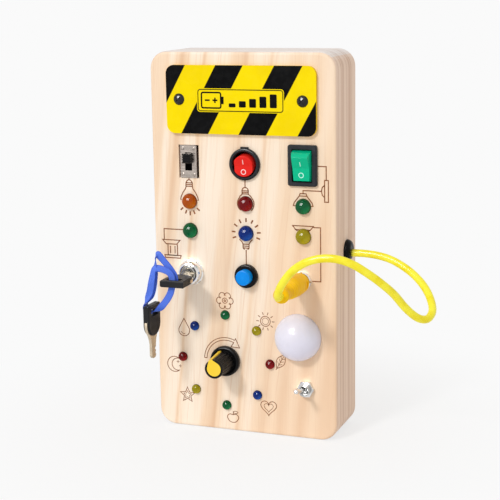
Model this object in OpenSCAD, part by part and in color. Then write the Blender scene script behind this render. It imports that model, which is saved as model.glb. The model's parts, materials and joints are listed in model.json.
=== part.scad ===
// Wooden busy board: an upright pine block whose front carries switches, lamps, a key
// switch, a push button, a rotary dial, a toggle and a corded plug.
// Front face towards -Y, +Z up, +X to the right. The origin is the middle of the base.

/* [Board] */
// Width of the board
board_w = 100; // [90:1:130]
// Height of the board
board_h = 200; // [180:1:240]
// Thickness from the front face to the back face
board_t = 35; // [33:1:45]
// Radius of the corners, seen from the front
corner_r = 9; // [6:0.5:12]
// Rounding of the front and back edges
edge_r = 1.6; // [0.8:0.1:2.4]
// Wood left between the front face and the pocket
front_wall = 6; // [5:0.5:7]
// Wood left round the sides of the pocket
side_wall = 9; // [8:0.5:9.5]
// Thickness of the plywood back
back_t = 3; // [2:0.5:4]
// Wood left outside the plywood back
back_margin = 3; // [2.5:0.25:4]
// Radius of a back screw's shank
back_screw_r = 1.25; // [1:0.05:1.5]
// Length of a back screw
back_screw_len = 12; // [9:0.5:16]

/* [Places] */
// Middle of the three columns of controls, on a board 100 wide
column_mid = 1.6; // [0:0.1:2.4]
// Distance from one column to the next, on a board 100 wide
column_pitch = 31; // [29:0.5:32]
// From the top edge to the middle of the hazard plate
plate_drop = 24.2; // [22:0.1:27]
// Height of the row of switches, on a board 200 high
switch_row = 143.7; // [141:0.1:145]
// Height of the upper row of lamps, on a board 200 high
upper_lamps = 122.9; // [121:0.1:124]
// Height of the lower row of lamps, on a board 200 high
lower_lamps = 107.5; // [105:0.1:109]
// Height of the key switch and the push button, on a board 200 high
middle_row = 85.2; // [82:0.1:87]
// Sideways place of the plug's socket, on a board 100 wide
socket_across = 31.9; // [30:0.1:33]
// Height of the plug's socket, on a board 200 high
socket_row = 84.5; // [82:0.1:87]
// From the pocket's left wall to the middle of the nearest small lamp
ring_side = 5.45; // [4:0.05:6]
// From the pocket's floor to the middle of the lowest small lamp
ring_foot = 5.05; // [4:0.05:6]
// Sideways place of the white dome, on a board 100 wide
dome_across = 29.4; // [28:0.1:30]
// Height of the white dome, on a board 200 high
dome_row = 54.6; // [53:0.1:57]
// Sideways place of the toggle, on a board 100 wide
toggle_across = 33.4; // [31:0.1:35]
// Height of the toggle, on a board 200 high
toggle_row = 27.3; // [23:0.1:29]
// Height of the cord's grommet on the right side, on a board 200 high
grommet_row = 98; // [95:0.1:101]

/* [Fits] */
// Gap round a piece that is let into the wood or another piece
fit = 0.2; // [0.1:0.05:0.3]
// Gap between a piece that moves and what it passes
gap = 0.3; // [0.2:0.05:0.4]
// Radial clearance of a pin or shaft that turns in its bore
running = 0.05; // [0.03:0.01:0.1]

/* [Hazard plate and battery bay] */
// Width of the plate
plate_w = 80.5; // [76:0.5:84]
// Height of the plate
plate_h = 34.8; // [33:0.2:37]
// Thickness of the plate
plate_t = 2; // [1.5:0.1:3]
// Radius of the plate's corners
plate_r = 4.5; // [2:0.5:6]
// Distance between the plate's two screws
plate_screw_pitch = 66.4; // [65:0.2:68]
// Radius of a plate screw's head
plate_screw_head_r = 3; // [2.5:0.1:3.5]
// Height of a plate screw's head
plate_screw_head_h = 1.8; // [1.4:0.1:2.2]
// Radius of a plate screw's shank
plate_screw_r = 1.4; // [1.2:0.05:1.6]
// Length of a plate screw's shank under its head
plate_screw_len = 10; // [8:0.5:13]
// Diameter of a battery
cell_d = 10.5; // [10:0.1:11]
// Length of a battery over its terminal
cell_len = 44.5; // [43:0.1:45.5]
// Distance between the two batteries' axes
cell_pitch = 11.9; // [11.4:0.1:12.4]
// Wall of the battery holder
tray_wall = 1.4; // [1:0.1:1.8]

/* [Slide switch] */
// Width of the metal frame
slide_w = 9; // [8.5:0.1:10]
// Open gap left in the wood at each side of the frame
slide_side_gap = 1.1; // [0.3:0.1:1.4]
// Height of the metal frame
slide_h = 16.8; // [15:0.1:19]
// Sheet thickness of the frame
slide_sheet = 0.6; // [0.4:0.1:0.8]
// How far the frame stands out of the wood
slide_proud = 0.5; // [0.2:0.1:1]
// Depth of the frame behind the face of the wood
slide_depth = 6.5; // [5.5:0.1:8]
// Width of the slider's finger piece
finger_w = 4.6; // [4.2:0.1:5.4]
// Height of the slider's finger piece
finger_h = 5; // [4.5:0.1:6]
// How far the finger piece stands out of the frame
finger_out = 3.6; // [3:0.1:5]
// Travel of the slider
slide_travel = 3.8; // [3:0.1:4.5]

/* [Round rocker switch] */
// Outer radius of the round bezel
round_r = 8.25; // [8:0.05:9.5]
// Inner radius of the round bezel
round_open_r = 6.45; // [6.3:0.05:6.7]
// Radius of the body behind the bezel
round_body_r = 7.3; // [7.1:0.05:7.8]
// Height of the round bezel over the wood
round_bezel_h = 1.9; // [1.5:0.1:2.5]
// How far the round switch sits under its row
round_lower = 0.4; // [0:0.1:1]
// Depth of the round body behind the face
round_depth = 13; // [11:0.5:16]
// Radius of the round rocker
round_rocker_r = 5.5; // [5:0.05:5.6]
// Half of the width of the round rocker's face
round_face_half = 4.6; // [4:0.1:5]
// Half of the round rocker's tilt, and the angle of each half of its face
round_tilt = 9; // [7:0.5:10]

/* [Rectangular rocker switch] */
// Width of the rectangular bezel
rect_w = 15.3; // [15:0.1:17]
// Height of the rectangular bezel
rect_h = 20.8; // [20.4:0.1:23]
// Width of the body behind the bezel
rect_body_w = 13; // [12.8:0.1:13.6]
// Height of the body behind the bezel
rect_body_h = 18.8; // [18.4:0.1:19.6]
// Height of the rectangular bezel over the wood
rect_bezel_h = 2; // [1.5:0.1:2.6]
// Depth of the rectangular body behind the face
rect_depth = 14; // [12:0.5:17]
// Width of the rectangular rocker at its foot
rect_rocker_w = 9.8; // [9.2:0.1:10]
// Half of the width of the rectangular rocker's face
rect_face_half = 3.85; // [3.5:0.05:4.4]
// Radius of the rectangular rocker's rounded ends about its pivot
rect_arc_r = 7.9; // [7.6:0.1:8]
// Half of the rectangular rocker's tilt
rect_tilt = 17; // [12:0.5:18]
// Angle of each half of the rectangular rocker's face
rect_valley = 10; // [6:0.5:12]

/* [Lamps] */
// Diameter of a large lamp
big_lamp_d = 8; // [7:0.1:9]
// Diameter of a small lamp
small_lamp_d = 5; // [4:0.1:6]
// Radius of the ring of small lamps round the dial
lamp_ring_r = 24.65; // [23:0.05:26]
// Radius of the white dome
dome_r = 12.3; // [11.5:0.1:13]
// Wall of the white dome
dome_wall = 2.4; // [2:0.1:2.6]

/* [Key switch] */
// Radius of the chrome flange
lock_flange_r = 6.8; // [6.4:0.1:7.6]
// Radius of the collar that stands on the flange
lock_collar_r = 6.3; // [5.8:0.1:6.6]
// Height of the collar's face over the wood
lock_face = 5; // [3.6:0.1:5.4]
// Radius of the threaded barrel
lock_barrel_r = 5.7; // [5.4:0.1:6]
// Radius of the turning core
lock_core_r = 4; // [3.8:0.1:4.4]
// Depth of the barrel behind the face
lock_depth = 13; // [11:0.5:16]
// Width across the key's plastic head
key_w = 13; // [12:0.1:14]
// Thickness of the key's plastic head
key_t = 3.6; // [3.4:0.1:4.2]
// Length of the key's plastic head
key_head_len = 16.5; // [15:0.1:19]
// Length of the steel that stands out of the head
key_blade_len = 12; // [10.5:0.1:12.5]
// Thickness of the key's steel
key_steel_t = 1.5; // [1.4:0.1:1.8]
// Width of the blade where it enters the core
key_blade_w = 4.4; // [4:0.1:4.8]
// How far the key sits under the middle of the core
key_drop = 0.9; // [0:0.1:1]
// From the front of the wood to the near end of the head
key_stand = 9.8; // [9:0.1:11]
// Width of the ribbon
ribbon_w = 3.6; // [3:0.1:4]
// Thickness of the ribbon
ribbon_t = 0.5; // [0.4:0.05:0.7]

/* [Push button] */
// Outer radius of the button's ring
button_ring_r = 6.2; // [5.6:0.1:6.6]
// Height of the button's ring over the wood
button_ring_h = 2.6; // [1.8:0.1:3]
// Radius of the button's threaded body
button_body_r = 5; // [4.9:0.05:5.2]
// Radius of the blue cap
button_cap_r = 4; // [3.8:0.05:4.4]
// How far the cap stands out of the ring
button_cap_out = 4.2; // [3:0.1:4.6]
// Travel of the cap
button_travel = 2; // [1.5:0.1:2.4]

/* [Dial] */
// Radius of the dial's skirt
dial_skirt_r = 8.1; // [7.4:0.05:8.8]
// Radius of the fluted body where it meets the skirt
dial_foot_r = 5.9; // [5.6:0.1:6.2]
// Radius of the fluted body at its top
dial_top_r = 5; // [4.7:0.1:5.5]
// Height of the dial over the wood
dial_h = 17.4; // [16:0.1:20]
// Radius of the dial's shaft
dial_shaft_r = 3; // [2.8:0.1:3.1]
// Number of flutes
dial_flutes = 18; // [12:1:20]
// Angle of the pointer at rest, to the left of upright
dial_rest = 22.5; // [0:0.5:30]

/* [Toggle] */
// Width across the flats of the toggle's nut
toggle_nut_af = 8; // [7.5:0.1:10]
// Radius of the toggle's bushing
toggle_bush_r = 2.95; // [2.9:0.05:3.1]
// How far the bushing stands out of the wood
toggle_bush_out = 4.4; // [4:0.1:5]
// Length of the lever from its pivot
toggle_lever_len = 16; // [13:0.1:18]
// Radius of the cross pin that the lever turns on
toggle_pin_r = 0.6; // [0.5:0.05:0.7]
// Radius of the lever's tip
toggle_tip_r = 1.25; // [1.1:0.05:1.5]
// Width of the toggle's case
toggle_case_w = 8; // [7:0.5:9]
// Height of the toggle's case
toggle_case_h = 13; // [12:0.5:14]
// Depth of the toggle's case
toggle_case_depth = 9.5; // [8:0.5:11]
// Half of the lever's swing
toggle_tilt = 13; // [10:0.5:14]

/* [Plug and cord] */
// Radius of the plug's metal pin
pin_r = 1.75; // [1.6:0.05:1.9]
// Length of the pin inside the socket, from the face of the wood
pin_depth = 12; // [10:0.1:14]
// Radius of the plug's handle
handle_r = 5.3; // [4.8:0.1:6]
// Length of the plug's handle
handle_len = 30; // [28:0.5:34]
// Radius of the socket's nut
socket_nut_r = 4.7; // [4.2:0.1:5.2]
// Height of the socket's nut
socket_nut_h = 1.9; // [1.4:0.1:2]
// Width of the socket's case
socket_case_w = 9; // [8:0.5:9.5]
// Height of the socket's case
socket_case_h = 11; // [10:0.5:12]
// Depth of the socket's case
socket_case_depth = 10; // [9:0.5:12]
// Diameter of the cord
cord_d = 3.9; // [3.5:0.1:4.2]
// Radius of the grommet's dome
grommet_r = 5.6; // [5:0.1:6.5]
// How far the grommet stands out of the side
grommet_out = 3; // [2.6:0.1:4]

/* [Hidden] */
$fn = 48;
through = 1;
hull_fn = 32;

plate_z = board_h - plate_drop;
front_y = -board_t/2;
back_y = board_t/2;
pocket_w = board_w - 2*side_wall;
pocket_h = board_h - 2*side_wall;
pocket_r = 5;

// The controls spread with the board: sideways with its width, and up with the wood below
// the plate, which is 158.4 on a board 200 high
spread_x = board_w/100;
spread_z = (board_h - plate_drop - plate_h/2)/158.4;
function column_x(i) = spread_x*(column_mid + (i - 1)*column_pitch);
switch_z = spread_z*switch_row;
round_z = switch_z - round_lower;
big_row_z = [spread_z*upper_lamps, spread_z*lower_lamps];
middle_z = spread_z*middle_row;
socket_x = spread_x*socket_across;
socket_z = spread_z*socket_row;
dial_x = -pocket_w/2 + ring_side + lamp_ring_r;
dial_z = side_wall + ring_foot + lamp_ring_r;
dome_x = spread_x*dome_across;
dome_z = spread_z*dome_row;
toggle_x = spread_x*toggle_across;
toggle_z = spread_z*toggle_row;
grommet_z = spread_z*grommet_row;

big_lamps = [
    ["lamp_amber", 0, 0, "darkorange"],
    ["lamp_green_left", 0, 1, "seagreen"],
    ["lamp_red", 1, 0, "firebrick"],
    ["lamp_blue", 1, 1, "mediumblue"],
    ["lamp_green_right", 2, 0, "seagreen"],
    ["lamp_yellow", 2, 1, "olive"],
];
ring_colours = ["seagreen", "olivedrab", "firebrick", "mediumblue"];
ring_count = 8;
ring_names = [for (k = [1:ring_count]) str("ring_lamp_", k)];

// The cord's drawn route from the grommet to the tail of the plug, one ring at each point
cord_drawn = [
    [53, 0, 96.8], [60, 0, 96.8], [67.3, -0.5, 96.2], [74.5, -2, 94.7],
    [81.5, -4.5, 92], [88, -8, 88.6], [94, -13, 84.4], [98.5, -19, 79.8],
    [101, -26, 75.8], [100, -32.5, 73.5], [96.5, -38, 75.2], [92, -43.5, 81],
    [87.5, -49, 88.8], [82.5, -54.5, 95.2], [77, -59, 100.6], [71, -62, 104.9],
    [64, -64, 107.3], [57, -64.9, 107.3], [50.5, -64.9, 105.5], [45.3, -64.4, 102.6],
    [41.3, -63.7, 99.2], [38, -62.6, 95.3], [35.2, -61, 91.2], [33.2, -58.6, 87.4],
    [31.9, -55.2, 84.5], [31.9, -52, 84.5],
];
cord_sides = 8;
handle_start = 4.5;
// Its two ends keep to the grommet and the plug, and the rest follows them smoothly
cord_moves = [[board_w/2 + grommet_out - 53, 0, grommet_z - 98],
    [socket_x - 31.9, front_y - handle_start - handle_len + 52, socket_z - 84.5]];
function eased(t) = t*t*(3 - 2*t);
cord_route = [for (i = [0:len(cord_drawn) - 1]) let (e = eased(i/(len(cord_drawn) - 1)))
    cord_drawn[i] + (1 - e)*cord_moves[0] + e*cord_moves[1]];

// The ribbon's route: out of the key's eye, over a fold, down to the spare key's eye,
// back up through the key's eye and down again. The last number turns its flat side.
ribbon_drawn = [
    [-29.4, -39.2, 85.2, 0], [-29.6, -39.4, 88, 0], [-31.4, -39.8, 91.2, 0],
    [-34.4, -40, 94.8, 0], [-36.9, -40.2, 97.6, 10], [-38.4, -40.4, 98.9, 40],
    [-39.3, -40.4, 97.4, 70], [-39.5, -40.2, 94, 55], [-39.9, -39.9, 90.6, 22],
    [-40.8, -39.6, 86, -6], [-41.7, -39.5, 81, -12], [-42.8, -39.5, 77, 10],
    [-44.3, -39.7, 74.4, 50], [-45.3, -40, 72.2, 82], [-45.4, -40.2, 70.4, 90],
    [-44.4, -40.4, 68.9, 90], [-42.4, -40.5, 68.6, 90], [-40.2, -40.6, 68.8, 75],
    [-37.8, -40.6, 70.4, 35], [-35.6, -40.6, 72.8, 0], [-33.2, -40.5, 76, 0],
    [-31.4, -40.5, 79.4, 0], [-30.6, -40.6, 82.6, 0], [-30.4, -40.7, 87, 0],
    [-31.9, -40.9, 89.8, 0], [-35.2, -41, 91.2, 0], [-38.2, -41.1, 91.6, 8],
    [-40.1, -41.3, 90.8, 25], [-40.9, -41.3, 87.6, 12], [-41.9, -41.2, 83, -10],
    [-42.9, -41.2, 78.6, -8], [-44.6, -41.2, 75.2, 30], [-46, -41.1, 72.6, 74],
    [-46.2, -41, 70, 90], [-44.9, -40.9, 67.6, 90], [-42.4, -40.9, 67.5, 90],
];
ribbon_move = [column_x(0) + 29.4, front_y + 17.5, middle_z - 85.2];
ribbon_route = [for (p = ribbon_drawn) concat([for (k = [0:2]) p[k] + ribbon_move[k]], p[3])];
// Corners of the ribbon's section: across its width and its thickness, from -1 to 1
ribbon_section = [[1, 0.4], [0.8, 1], [-0.8, 1], [-1, 0.4], [-1, -0.4], [-0.8, -1], [0.8, -1], [1, -0.4]];

spare_centre = [ribbon_move[0] - 42.4, ribbon_move[1] - 40.6];
spare_top_z = ribbon_move[2] + 72.4;
spare_turn = 87.5;

// Values shared by pieces that meet
round_pivot = -2;
round_face = 4.6;
round_ball_r = 7.45;
rect_pivot = 0;
rect_face = 3.8;
rect_open_w = rect_rocker_w + 2*gap + 0.4;
rect_open_h = 2*(rect_arc_r + gap) + 0.1;
trunnion_r = 1;
trunnion_in = 0.6;
terminal_len = 6;
tray_rim = 0.3;
cell_axis = tray_rim + 0.5 + cell_d/2;
tray_inner_len = cell_len + 5;
tray_inner_h = cell_pitch + cell_d + 0.4;
tray_w = tray_inner_len + 2*tray_wall;
tray_h = tray_inner_h + 2*tray_wall;
tray_depth = cell_axis + cell_d/2 + 0.2 + tray_wall;
tray_ear = 4;
contact_t = 0.4;
slide_slot_w = 3.3;
carriage_t = 1.6;
flange_t = 1.5;
lead_len = 8;
lead_w = 0.5;
lead_gap = 2.54;
dome_spigot_r = dome_r - 1.8;
dome_spigot = 5.2;
core_out = 0.3;
bump_h = 0.35;
contact_w = 7;
dome_board_w = 12;
dome_chip_r = 2.5;
small_flange_t = 1;
key_head_end = key_stand + key_head_len;
eye_w = 8.2;
eye_l = 3.8;
eye_from_end = 3.9;
keyway_depth = 3.6;
button_well_r = button_cap_r + running;
button_depth = 14;
button_floor = 1.5;
cap_skirt = 5;
dial_clear = 0.8;
skirt_h = 2.6;
pointer_t = 0.8;
pointer_r = 3.8;
pointer_bar_w = 1.9;
rotary_r = 12;
rotary_t = 7.5;
rotary_bush_r = 3.5;
toggle_pivot = 2;
toggle_ball_r = 1.6;
toggle_pin_half = 2.3;
toggle_nut_h = 2;
collar_r = 3.2;
socket_thread_r = 3.05;
grommet_neck_r = 3.6;
back_screw_xz = [for (s = [-1, 1]) for (p = [[0.5, 0.5], [0, board_h/2 - side_wall/2 - 1], [0.5, board_h - side_wall - back_margin - 0.5]])
    [s*(board_w/2 - (side_wall + back_margin)/2 - p[0]), (side_wall + back_margin)/2 + p[1]]];

// Helpers

// Puts children on the front face: their +Z points out of the wood, their +Y up
module on_face(x, z) translate([x, front_y, z]) rotate([90, 0, 0]) children();

// Puts children on the back face, with their +Z pointing out of it and their +Y up
module on_back(x, z) translate([x, back_y, z]) rotate([90, 0, 180]) children();

// A rectangle with exact round corners, centred
module soft_rect(w, h, r) {
    square([w - 2*r, h], center = true);
    square([w, h - 2*r], center = true);
    for (x = [-1, 1]) for (y = [-1, 1]) translate([x*(w/2 - r), y*(h/2 - r)]) circle(r);
}

// A slab of that shape between two depths
module soft_slab(w, h, r, low, high) translate([0, 0, low]) linear_extrude(high - low) soft_rect(w, h, r);

// A box centred across and up, between two depths
module slab(w, h, low, high) translate([-w/2, -h/2, low]) cube([w, h, high - low]);

// A cylinder between two depths
module rod(r, low, high) translate([0, 0, low]) cylinder(r = r, h = high - low);

// A hexagon nut between two depths, across flats af, with a round bore
module hex_nut(af, bore, low, high) difference() {
    translate([0, 0, low]) cylinder(r = af/2/cos(30), h = high - low, $fn = 6);
    rod(bore, low - through, high + through);
}

// A cross slot sunk into a screw head
module cross_slot(size, depth, top) for (a = [45, 135])
    rotate([0, 0, a]) slab(size, size/4.5, top - depth, top + through);

// Terminal blades behind a switch
module blades(places, w, t, low) for (p = places) translate([p[0], p[1], 0]) slab(w, t, low - terminal_len, low);

function unit(v) = v/norm(v);
function step(path, i) = let (n = len(path) - 1)
    unit(path[min(i + 1, n)] - path[max(i - 1, 0)]);

// Faces of a closed tube of rings with the given number of sides
function tube_faces(rings, sides) = concat(
    [for (i = [0:rings - 2]) for (k = [0:sides - 1]) let (a = i*sides + k, b = i*sides + (k + 1)%sides)
        each [[a, b, b + sides], [a, b + sides, a + sides]]],
    [for (k = [1:sides - 2]) [0, k + 1, k]],
    [for (k = [1:sides - 2]) let (e = (rings - 1)*sides) [e, e + k, e + k + 1]]);

// A round tube swept along a route, square to its first and last stretch
module swept_tube(path, d, sides) {
    points = [for (i = [0:len(path) - 1])
        let (t = step(path, i), across = unit(cross([0, 0, 1], t)), up = cross(t, across))
        for (k = [0:sides - 1]) let (a = 360*(k + 0.5)/sides)
            path[i] + d/2*(cos(a)*across + sin(a)*up)];
    polyhedron(points, tube_faces(len(path), sides), convexity = 8);
}

// A flat ribbon swept along a route whose fourth number turns it about its own line
module swept_ribbon(route, w, t) {
    path = [for (p = route) [p[0], p[1], p[2]]];
    points = [for (i = [0:len(path) - 1])
        let (along = step(path, i), flat = unit(cross(along, [0, 1, 0])), face = cross(along, flat),
             turn = route[i][3],
             wide = cos(turn)*flat + sin(turn)*face, thick = cos(turn)*face - sin(turn)*flat)
        for (q = ribbon_section) path[i] + w/2*q[0]*wide + t/2*q[1]*thick];
    polyhedron(points, tube_faces(len(path), len(ribbon_section)), convexity = 8);
}

// The board

module corner_post() rotate([90, 0, 0]) rotate_extrude($fn = hull_fn) {
    arc = [0:22.5:90];
    polygon(concat([[0, -board_t/2]],
        [for (a = arc) [corner_r - edge_r + edge_r*sin(a), -board_t/2 + edge_r - edge_r*cos(a)]],
        [for (a = arc) [corner_r - edge_r + edge_r*cos(a), board_t/2 - edge_r + edge_r*sin(a)]],
        [[0, board_t/2]]));
}

module wood_body() color("burlywood") difference() {
    hull() for (x = [-1, 1]) for (z = [corner_r, board_h - corner_r])
        translate([x*(board_w/2 - corner_r), 0, z]) corner_post();
    on_face(0, board_h/2) soft_slab(pocket_w, pocket_h, pocket_r, -board_t - through, -front_wall);
    on_back(0, board_h/2) soft_slab(board_w - 2*back_margin, board_h - 2*back_margin, pocket_r, -back_t, through);
    on_face(0, plate_z) slab(tray_w + 2*fit, tray_h + 2*fit, -front_wall - through, through);
    for (x = [-1, 1]) on_face(x*plate_screw_pitch/2, plate_z)
        rod(plate_screw_r + running, -front_wall - through, through);
    on_face(column_x(0), switch_z) slab(slide_w + 2*slide_side_gap, slide_h + 2*fit, -front_wall - through, through);
    on_face(column_x(1), round_z) rod(round_body_r + fit, -front_wall - through, through);
    on_face(column_x(2), switch_z) slab(rect_body_w + 2*fit, rect_body_h + 2*fit, -front_wall - through, through);
    for (lamp = big_lamps) on_face(column_x(lamp[1]), big_row_z[lamp[2]])
        rod(big_lamp_d/2 + running, -front_wall - through, through);
    for (k = [0:ring_count - 1]) at_ring_lamp(k) rod(small_lamp_d/2 + running, -front_wall - through, through);
    on_face(column_x(0), middle_z) rod(lock_barrel_r + fit, -front_wall - through, through);
    on_face(column_x(1), middle_z) rod(button_body_r + fit, -front_wall - through, through);
    on_face(socket_x, socket_z) rod(socket_thread_r + fit, -front_wall - through, through);
    on_face(dial_x, dial_z) rod(rotary_bush_r + fit, -front_wall - through, through);
    on_face(dome_x, dome_z) rod(dome_spigot_r + fit, -front_wall - through, through);
    on_face(toggle_x, toggle_z) rod(toggle_bush_r + fit, -front_wall - through, through);
    on_side() rod(grommet_neck_r + fit, -side_wall - through, through);
    for (p = back_screw_xz) on_back(p[0], p[1]) rod(back_screw_r + running, -back_screw_len - 1, through);
}

module back_panel() color("wheat") difference() {
    on_back(0, board_h/2)
        soft_slab(board_w - 2*back_margin - 2*fit, board_h - 2*back_margin - 2*fit, pocket_r - fit, -back_t, 0);
    for (p = back_screw_xz) on_back(p[0], p[1]) {
        rod(back_screw_r + running, -back_t - through, through);
        screw_cone(running);
    }
}

// The countersunk head of a back screw, grown by a clearance
module screw_cone(grow) translate([0, 0, -back_screw_r])
    cylinder(r1 = back_screw_r + grow, r2 = 2*back_screw_r + grow, h = back_screw_r + 0.01);

module back_screws() color("silver") for (p = back_screw_xz) on_back(p[0], p[1]) difference() {
    union() {
        intersection() {
            screw_cone(0);
            rod(3*back_screw_r, -back_screw_len, 0);
        }
        rod(back_screw_r, -back_screw_len + 2*back_screw_r, -back_screw_r);
        translate([0, 0, -back_screw_len]) cylinder(r1 = 0.2, r2 = back_screw_r, h = 2*back_screw_r);
    }
    cross_slot(2.4*back_screw_r, 0.8, 0);
}

// The hazard plate and the batteries behind it

module hazard_plate() color("gold") on_face(0, plate_z) difference() {
    soft_slab(plate_w, plate_h, plate_r, 0, plate_t);
    for (x = [-1, 1]) translate([x*plate_screw_pitch/2, 0, 0])
        rod(plate_screw_r + running, -through, plate_t + through);
}

module plate_screws() color("#26262a") for (x = [-1, 1]) on_face(x*plate_screw_pitch/2, plate_z) {
    dome_h = plate_screw_head_h;
    curve = (pow(plate_screw_head_r, 2) + dome_h*dome_h)/(2*dome_h);
    difference() {
        intersection() {
            translate([0, 0, plate_t + dome_h - curve]) sphere(curve);
            rod(plate_screw_head_r, plate_t, plate_t + dome_h + through);
        }
        cross_slot(3.2, 1, plate_t + dome_h);
    }
    rod(plate_screw_r, plate_t - plate_screw_len + 2, plate_t);
    translate([0, 0, plate_t - plate_screw_len]) cylinder(r1 = 0.3, r2 = plate_screw_r, h = 2);
}

module at_cell(s) on_face(0, plate_z) translate([0, s*cell_pitch/2, -cell_axis]) rotate([0, s*90, 0]) children();

module battery_tray() color("#1d1d20") on_face(0, plate_z) {
    difference() {
        slab(tray_w, tray_h, -tray_depth, -tray_rim);
        for (s = [-1, 1]) translate([0, s*cell_pitch/2, -cell_axis]) {
            rotate([0, 90, 0]) rod(cell_d/2 + 0.2, -tray_inner_len/2, tray_inner_len/2);
            slab(tray_inner_len, cell_d + 0.4, 0, cell_axis);
        }
    }
    for (x = [-1, 1]) translate([x*(tray_w/2 + tray_ear/2), 0, 0])
        slab(tray_ear, tray_h, -front_wall - tray_wall, -front_wall);
}

module batteries() color("seagreen") for (s = [-1, 1]) at_cell(s) {
    nub = 1;
    rod(cell_d/2, -cell_len/2, cell_len/2 - nub);
    rod(cell_d/5.5, cell_len/2 - nub, cell_len/2);
}

// A flat contact at each positive end and a bent leaf at each negative one
module battery_contacts() color("silver") for (s = [-1, 1]) at_cell(s) {
    wall = tray_inner_len/2;
    leaf = (tray_inner_len - cell_len)/2;
    slab(contact_w, contact_w, wall - contact_t, wall);
    rod(2.2, cell_len/2 + 0.02, wall - contact_t);
    slab(contact_w, contact_w, -wall, -wall + contact_t);
    rotate([90, 0, 0]) linear_extrude(5, center = true) polygon([
        [-3, -wall + contact_t], [-3 + 2*contact_t, -wall + contact_t],
        [0.4, -wall + leaf - contact_t], [3 - 2*contact_t, -wall + contact_t], [3, -wall + contact_t],
        [0.8, -wall + leaf - 0.02], [-0.8, -wall + leaf - 0.02]]);
}

// The slide switch: a folded metal frame, a base with three pins, and the black finger piece

slide_low = slide_travel/2 + finger_h/2;

module slide_frame() color("silver") on_face(column_x(0), switch_z) {
    difference() {
        slab(slide_w, slide_h, -slide_depth, slide_proud);
        slab(slide_w - 2*slide_sheet, slide_h - 2*slide_sheet, -slide_depth - through, slide_proud - slide_sheet);
        slab(slide_slot_w + 2*gap, finger_h + slide_travel + 2*gap, -through, slide_proud + through);
    }
    for (x = [-1, 1]) for (y = [-1, 1]) translate([x*(slide_w/2 - 1.4), y*(slide_h/2 - 1.6), slide_proud])
        cylinder(r1 = 0.95, r2 = 0.5, h = bump_h, $fn = 12);
}

module slide_base() color("#8a5a34") on_face(column_x(0), switch_z) {
    slab(slide_w - 2*slide_sheet, slide_h - 2*slide_sheet, -slide_depth, -slide_depth + 1.2);
    blades([for (y = [-4.6, 0, 4.6]) [0, y]], 1.4, 0.6, -slide_depth);
}

module slide_finger() color("#161618") on_face(column_x(0), switch_z) translate([0, slide_travel/2, 0]) {
    under = slide_proud - slide_sheet - gap;
    low = slide_proud + bump_h + 0.1;
    difference() {
        hull() {
            slab(finger_w, finger_h, low, slide_proud + finger_out - 0.5);
            slab(finger_w - 1, finger_h - 1, low, slide_proud + finger_out);
        }
        for (y = [-1, 0, 1]) translate([0, y*finger_h/4, 0])
            slab(finger_w + 1, 0.5, slide_proud + finger_out - 0.6, slide_proud + finger_out + through);
        for (x = [-1, 1]) for (y = [-1, 0, 1]) translate([x*(finger_w/2 + 0.2), y*finger_h/4, 0])
            slab(1, 0.5, low - through, slide_proud + finger_out + through);
    }
    slab(slide_slot_w, finger_h, under, low);
    slab(slide_w - 2*slide_sheet - 2*gap, finger_h, under - carriage_t, under);
    slab(slide_slot_w, 3, -slide_depth + 1.2 + gap, under - carriage_t);
}

// The round rocker switch

module round_bezel() color("#2b2b30") on_face(column_x(1), round_z) difference() {
    union() {
        rotate_extrude() polygon(concat(
            [[round_open_r, 0], [round_r, 0]],
            [for (a = [0:15:90]) [round_r - 0.9 + 0.9*cos(a), round_bezel_h - 0.9 + 0.9*sin(a)]],
            [[round_open_r + 0.4, round_bezel_h], [round_open_r, round_bezel_h - 0.5]]));
        rotate_extrude() polygon([[round_open_r, -round_depth + 1], [round_body_r, -round_depth + 1],
            [round_body_r, 0], [round_open_r, 0]]);
        rod(round_body_r, -round_depth, -round_depth + 1);
        translate([0, round_r, 0]) slab(4.2, 1.2, 0, round_bezel_h - 0.9);
    }
    translate([0, 0, round_pivot]) rotate([0, 90, 0])
        rod(trunnion_r + running, -round_open_r - trunnion_in - gap/3, round_open_r + trunnion_in + gap/3);
}

// A rocker's side view: two flat halves that meet in a shallow valley
module rocker_side(half, face, tilt, foot) polygon([
    [-half, foot], [half, foot], [half, face + half*tan(tilt)], [0, face], [-half, face + half*tan(tilt)]]);

// The same rocker seen end on: its sides lean in towards the face
module rocker_end(foot_half, face_half, shoulder, top, foot) polygon([
    [-foot_half, foot], [foot_half, foot], [foot_half, shoulder], [face_half, top], [-face_half, top],
    [-foot_half, shoulder]]);

module round_rocker() color("red") on_face(column_x(1), round_z) translate([0, 0, round_pivot])
    rotate([round_tilt, 0, 0]) {
        intersection() {
            rotate([90, 0, 90]) linear_extrude(2*round_rocker_r, center = true)
                rocker_side(round_rocker_r, round_face, round_tilt, -2.5);
            rotate([90, 0, 0]) linear_extrude(3*round_rocker_r, center = true)
                rocker_end(round_rocker_r, round_face_half, 1.8, 5.8, -4);
            rod(round_rocker_r, -4, 8);
            sphere(round_ball_r);
        }
        rotate([0, 90, 0]) rod(trunnion_r, -round_open_r - trunnion_in, round_open_r + trunnion_in);
        rod(1.2, -5.5, -2.5);
    }

module round_terminals() color("silver") on_face(column_x(1), round_z)
    blades([[-3, 0], [3, 0]], 0.8, 4.8, -round_depth);

// The rectangular rocker switch

module rect_bezel() color("#26292f") on_face(column_x(2), switch_z) difference() {
    union() {
        hull() {
            soft_slab(rect_w, rect_h, 1.2, 0, rect_bezel_h - 0.6);
            soft_slab(rect_w - 1.2, rect_h - 1.2, 0.8, 0, rect_bezel_h);
        }
        slab(rect_body_w, rect_body_h, -rect_depth, 0.1);
    }
    soft_slab(rect_open_w, rect_open_h, 0.5, -rect_depth + 1.2, rect_bezel_h + through);
    translate([0, 0, rect_pivot]) rotate([0, 90, 0])
        rod(trunnion_r + running, -rect_open_w/2 - trunnion_in - gap/3, rect_open_w/2 + trunnion_in + gap/3);
}

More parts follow.
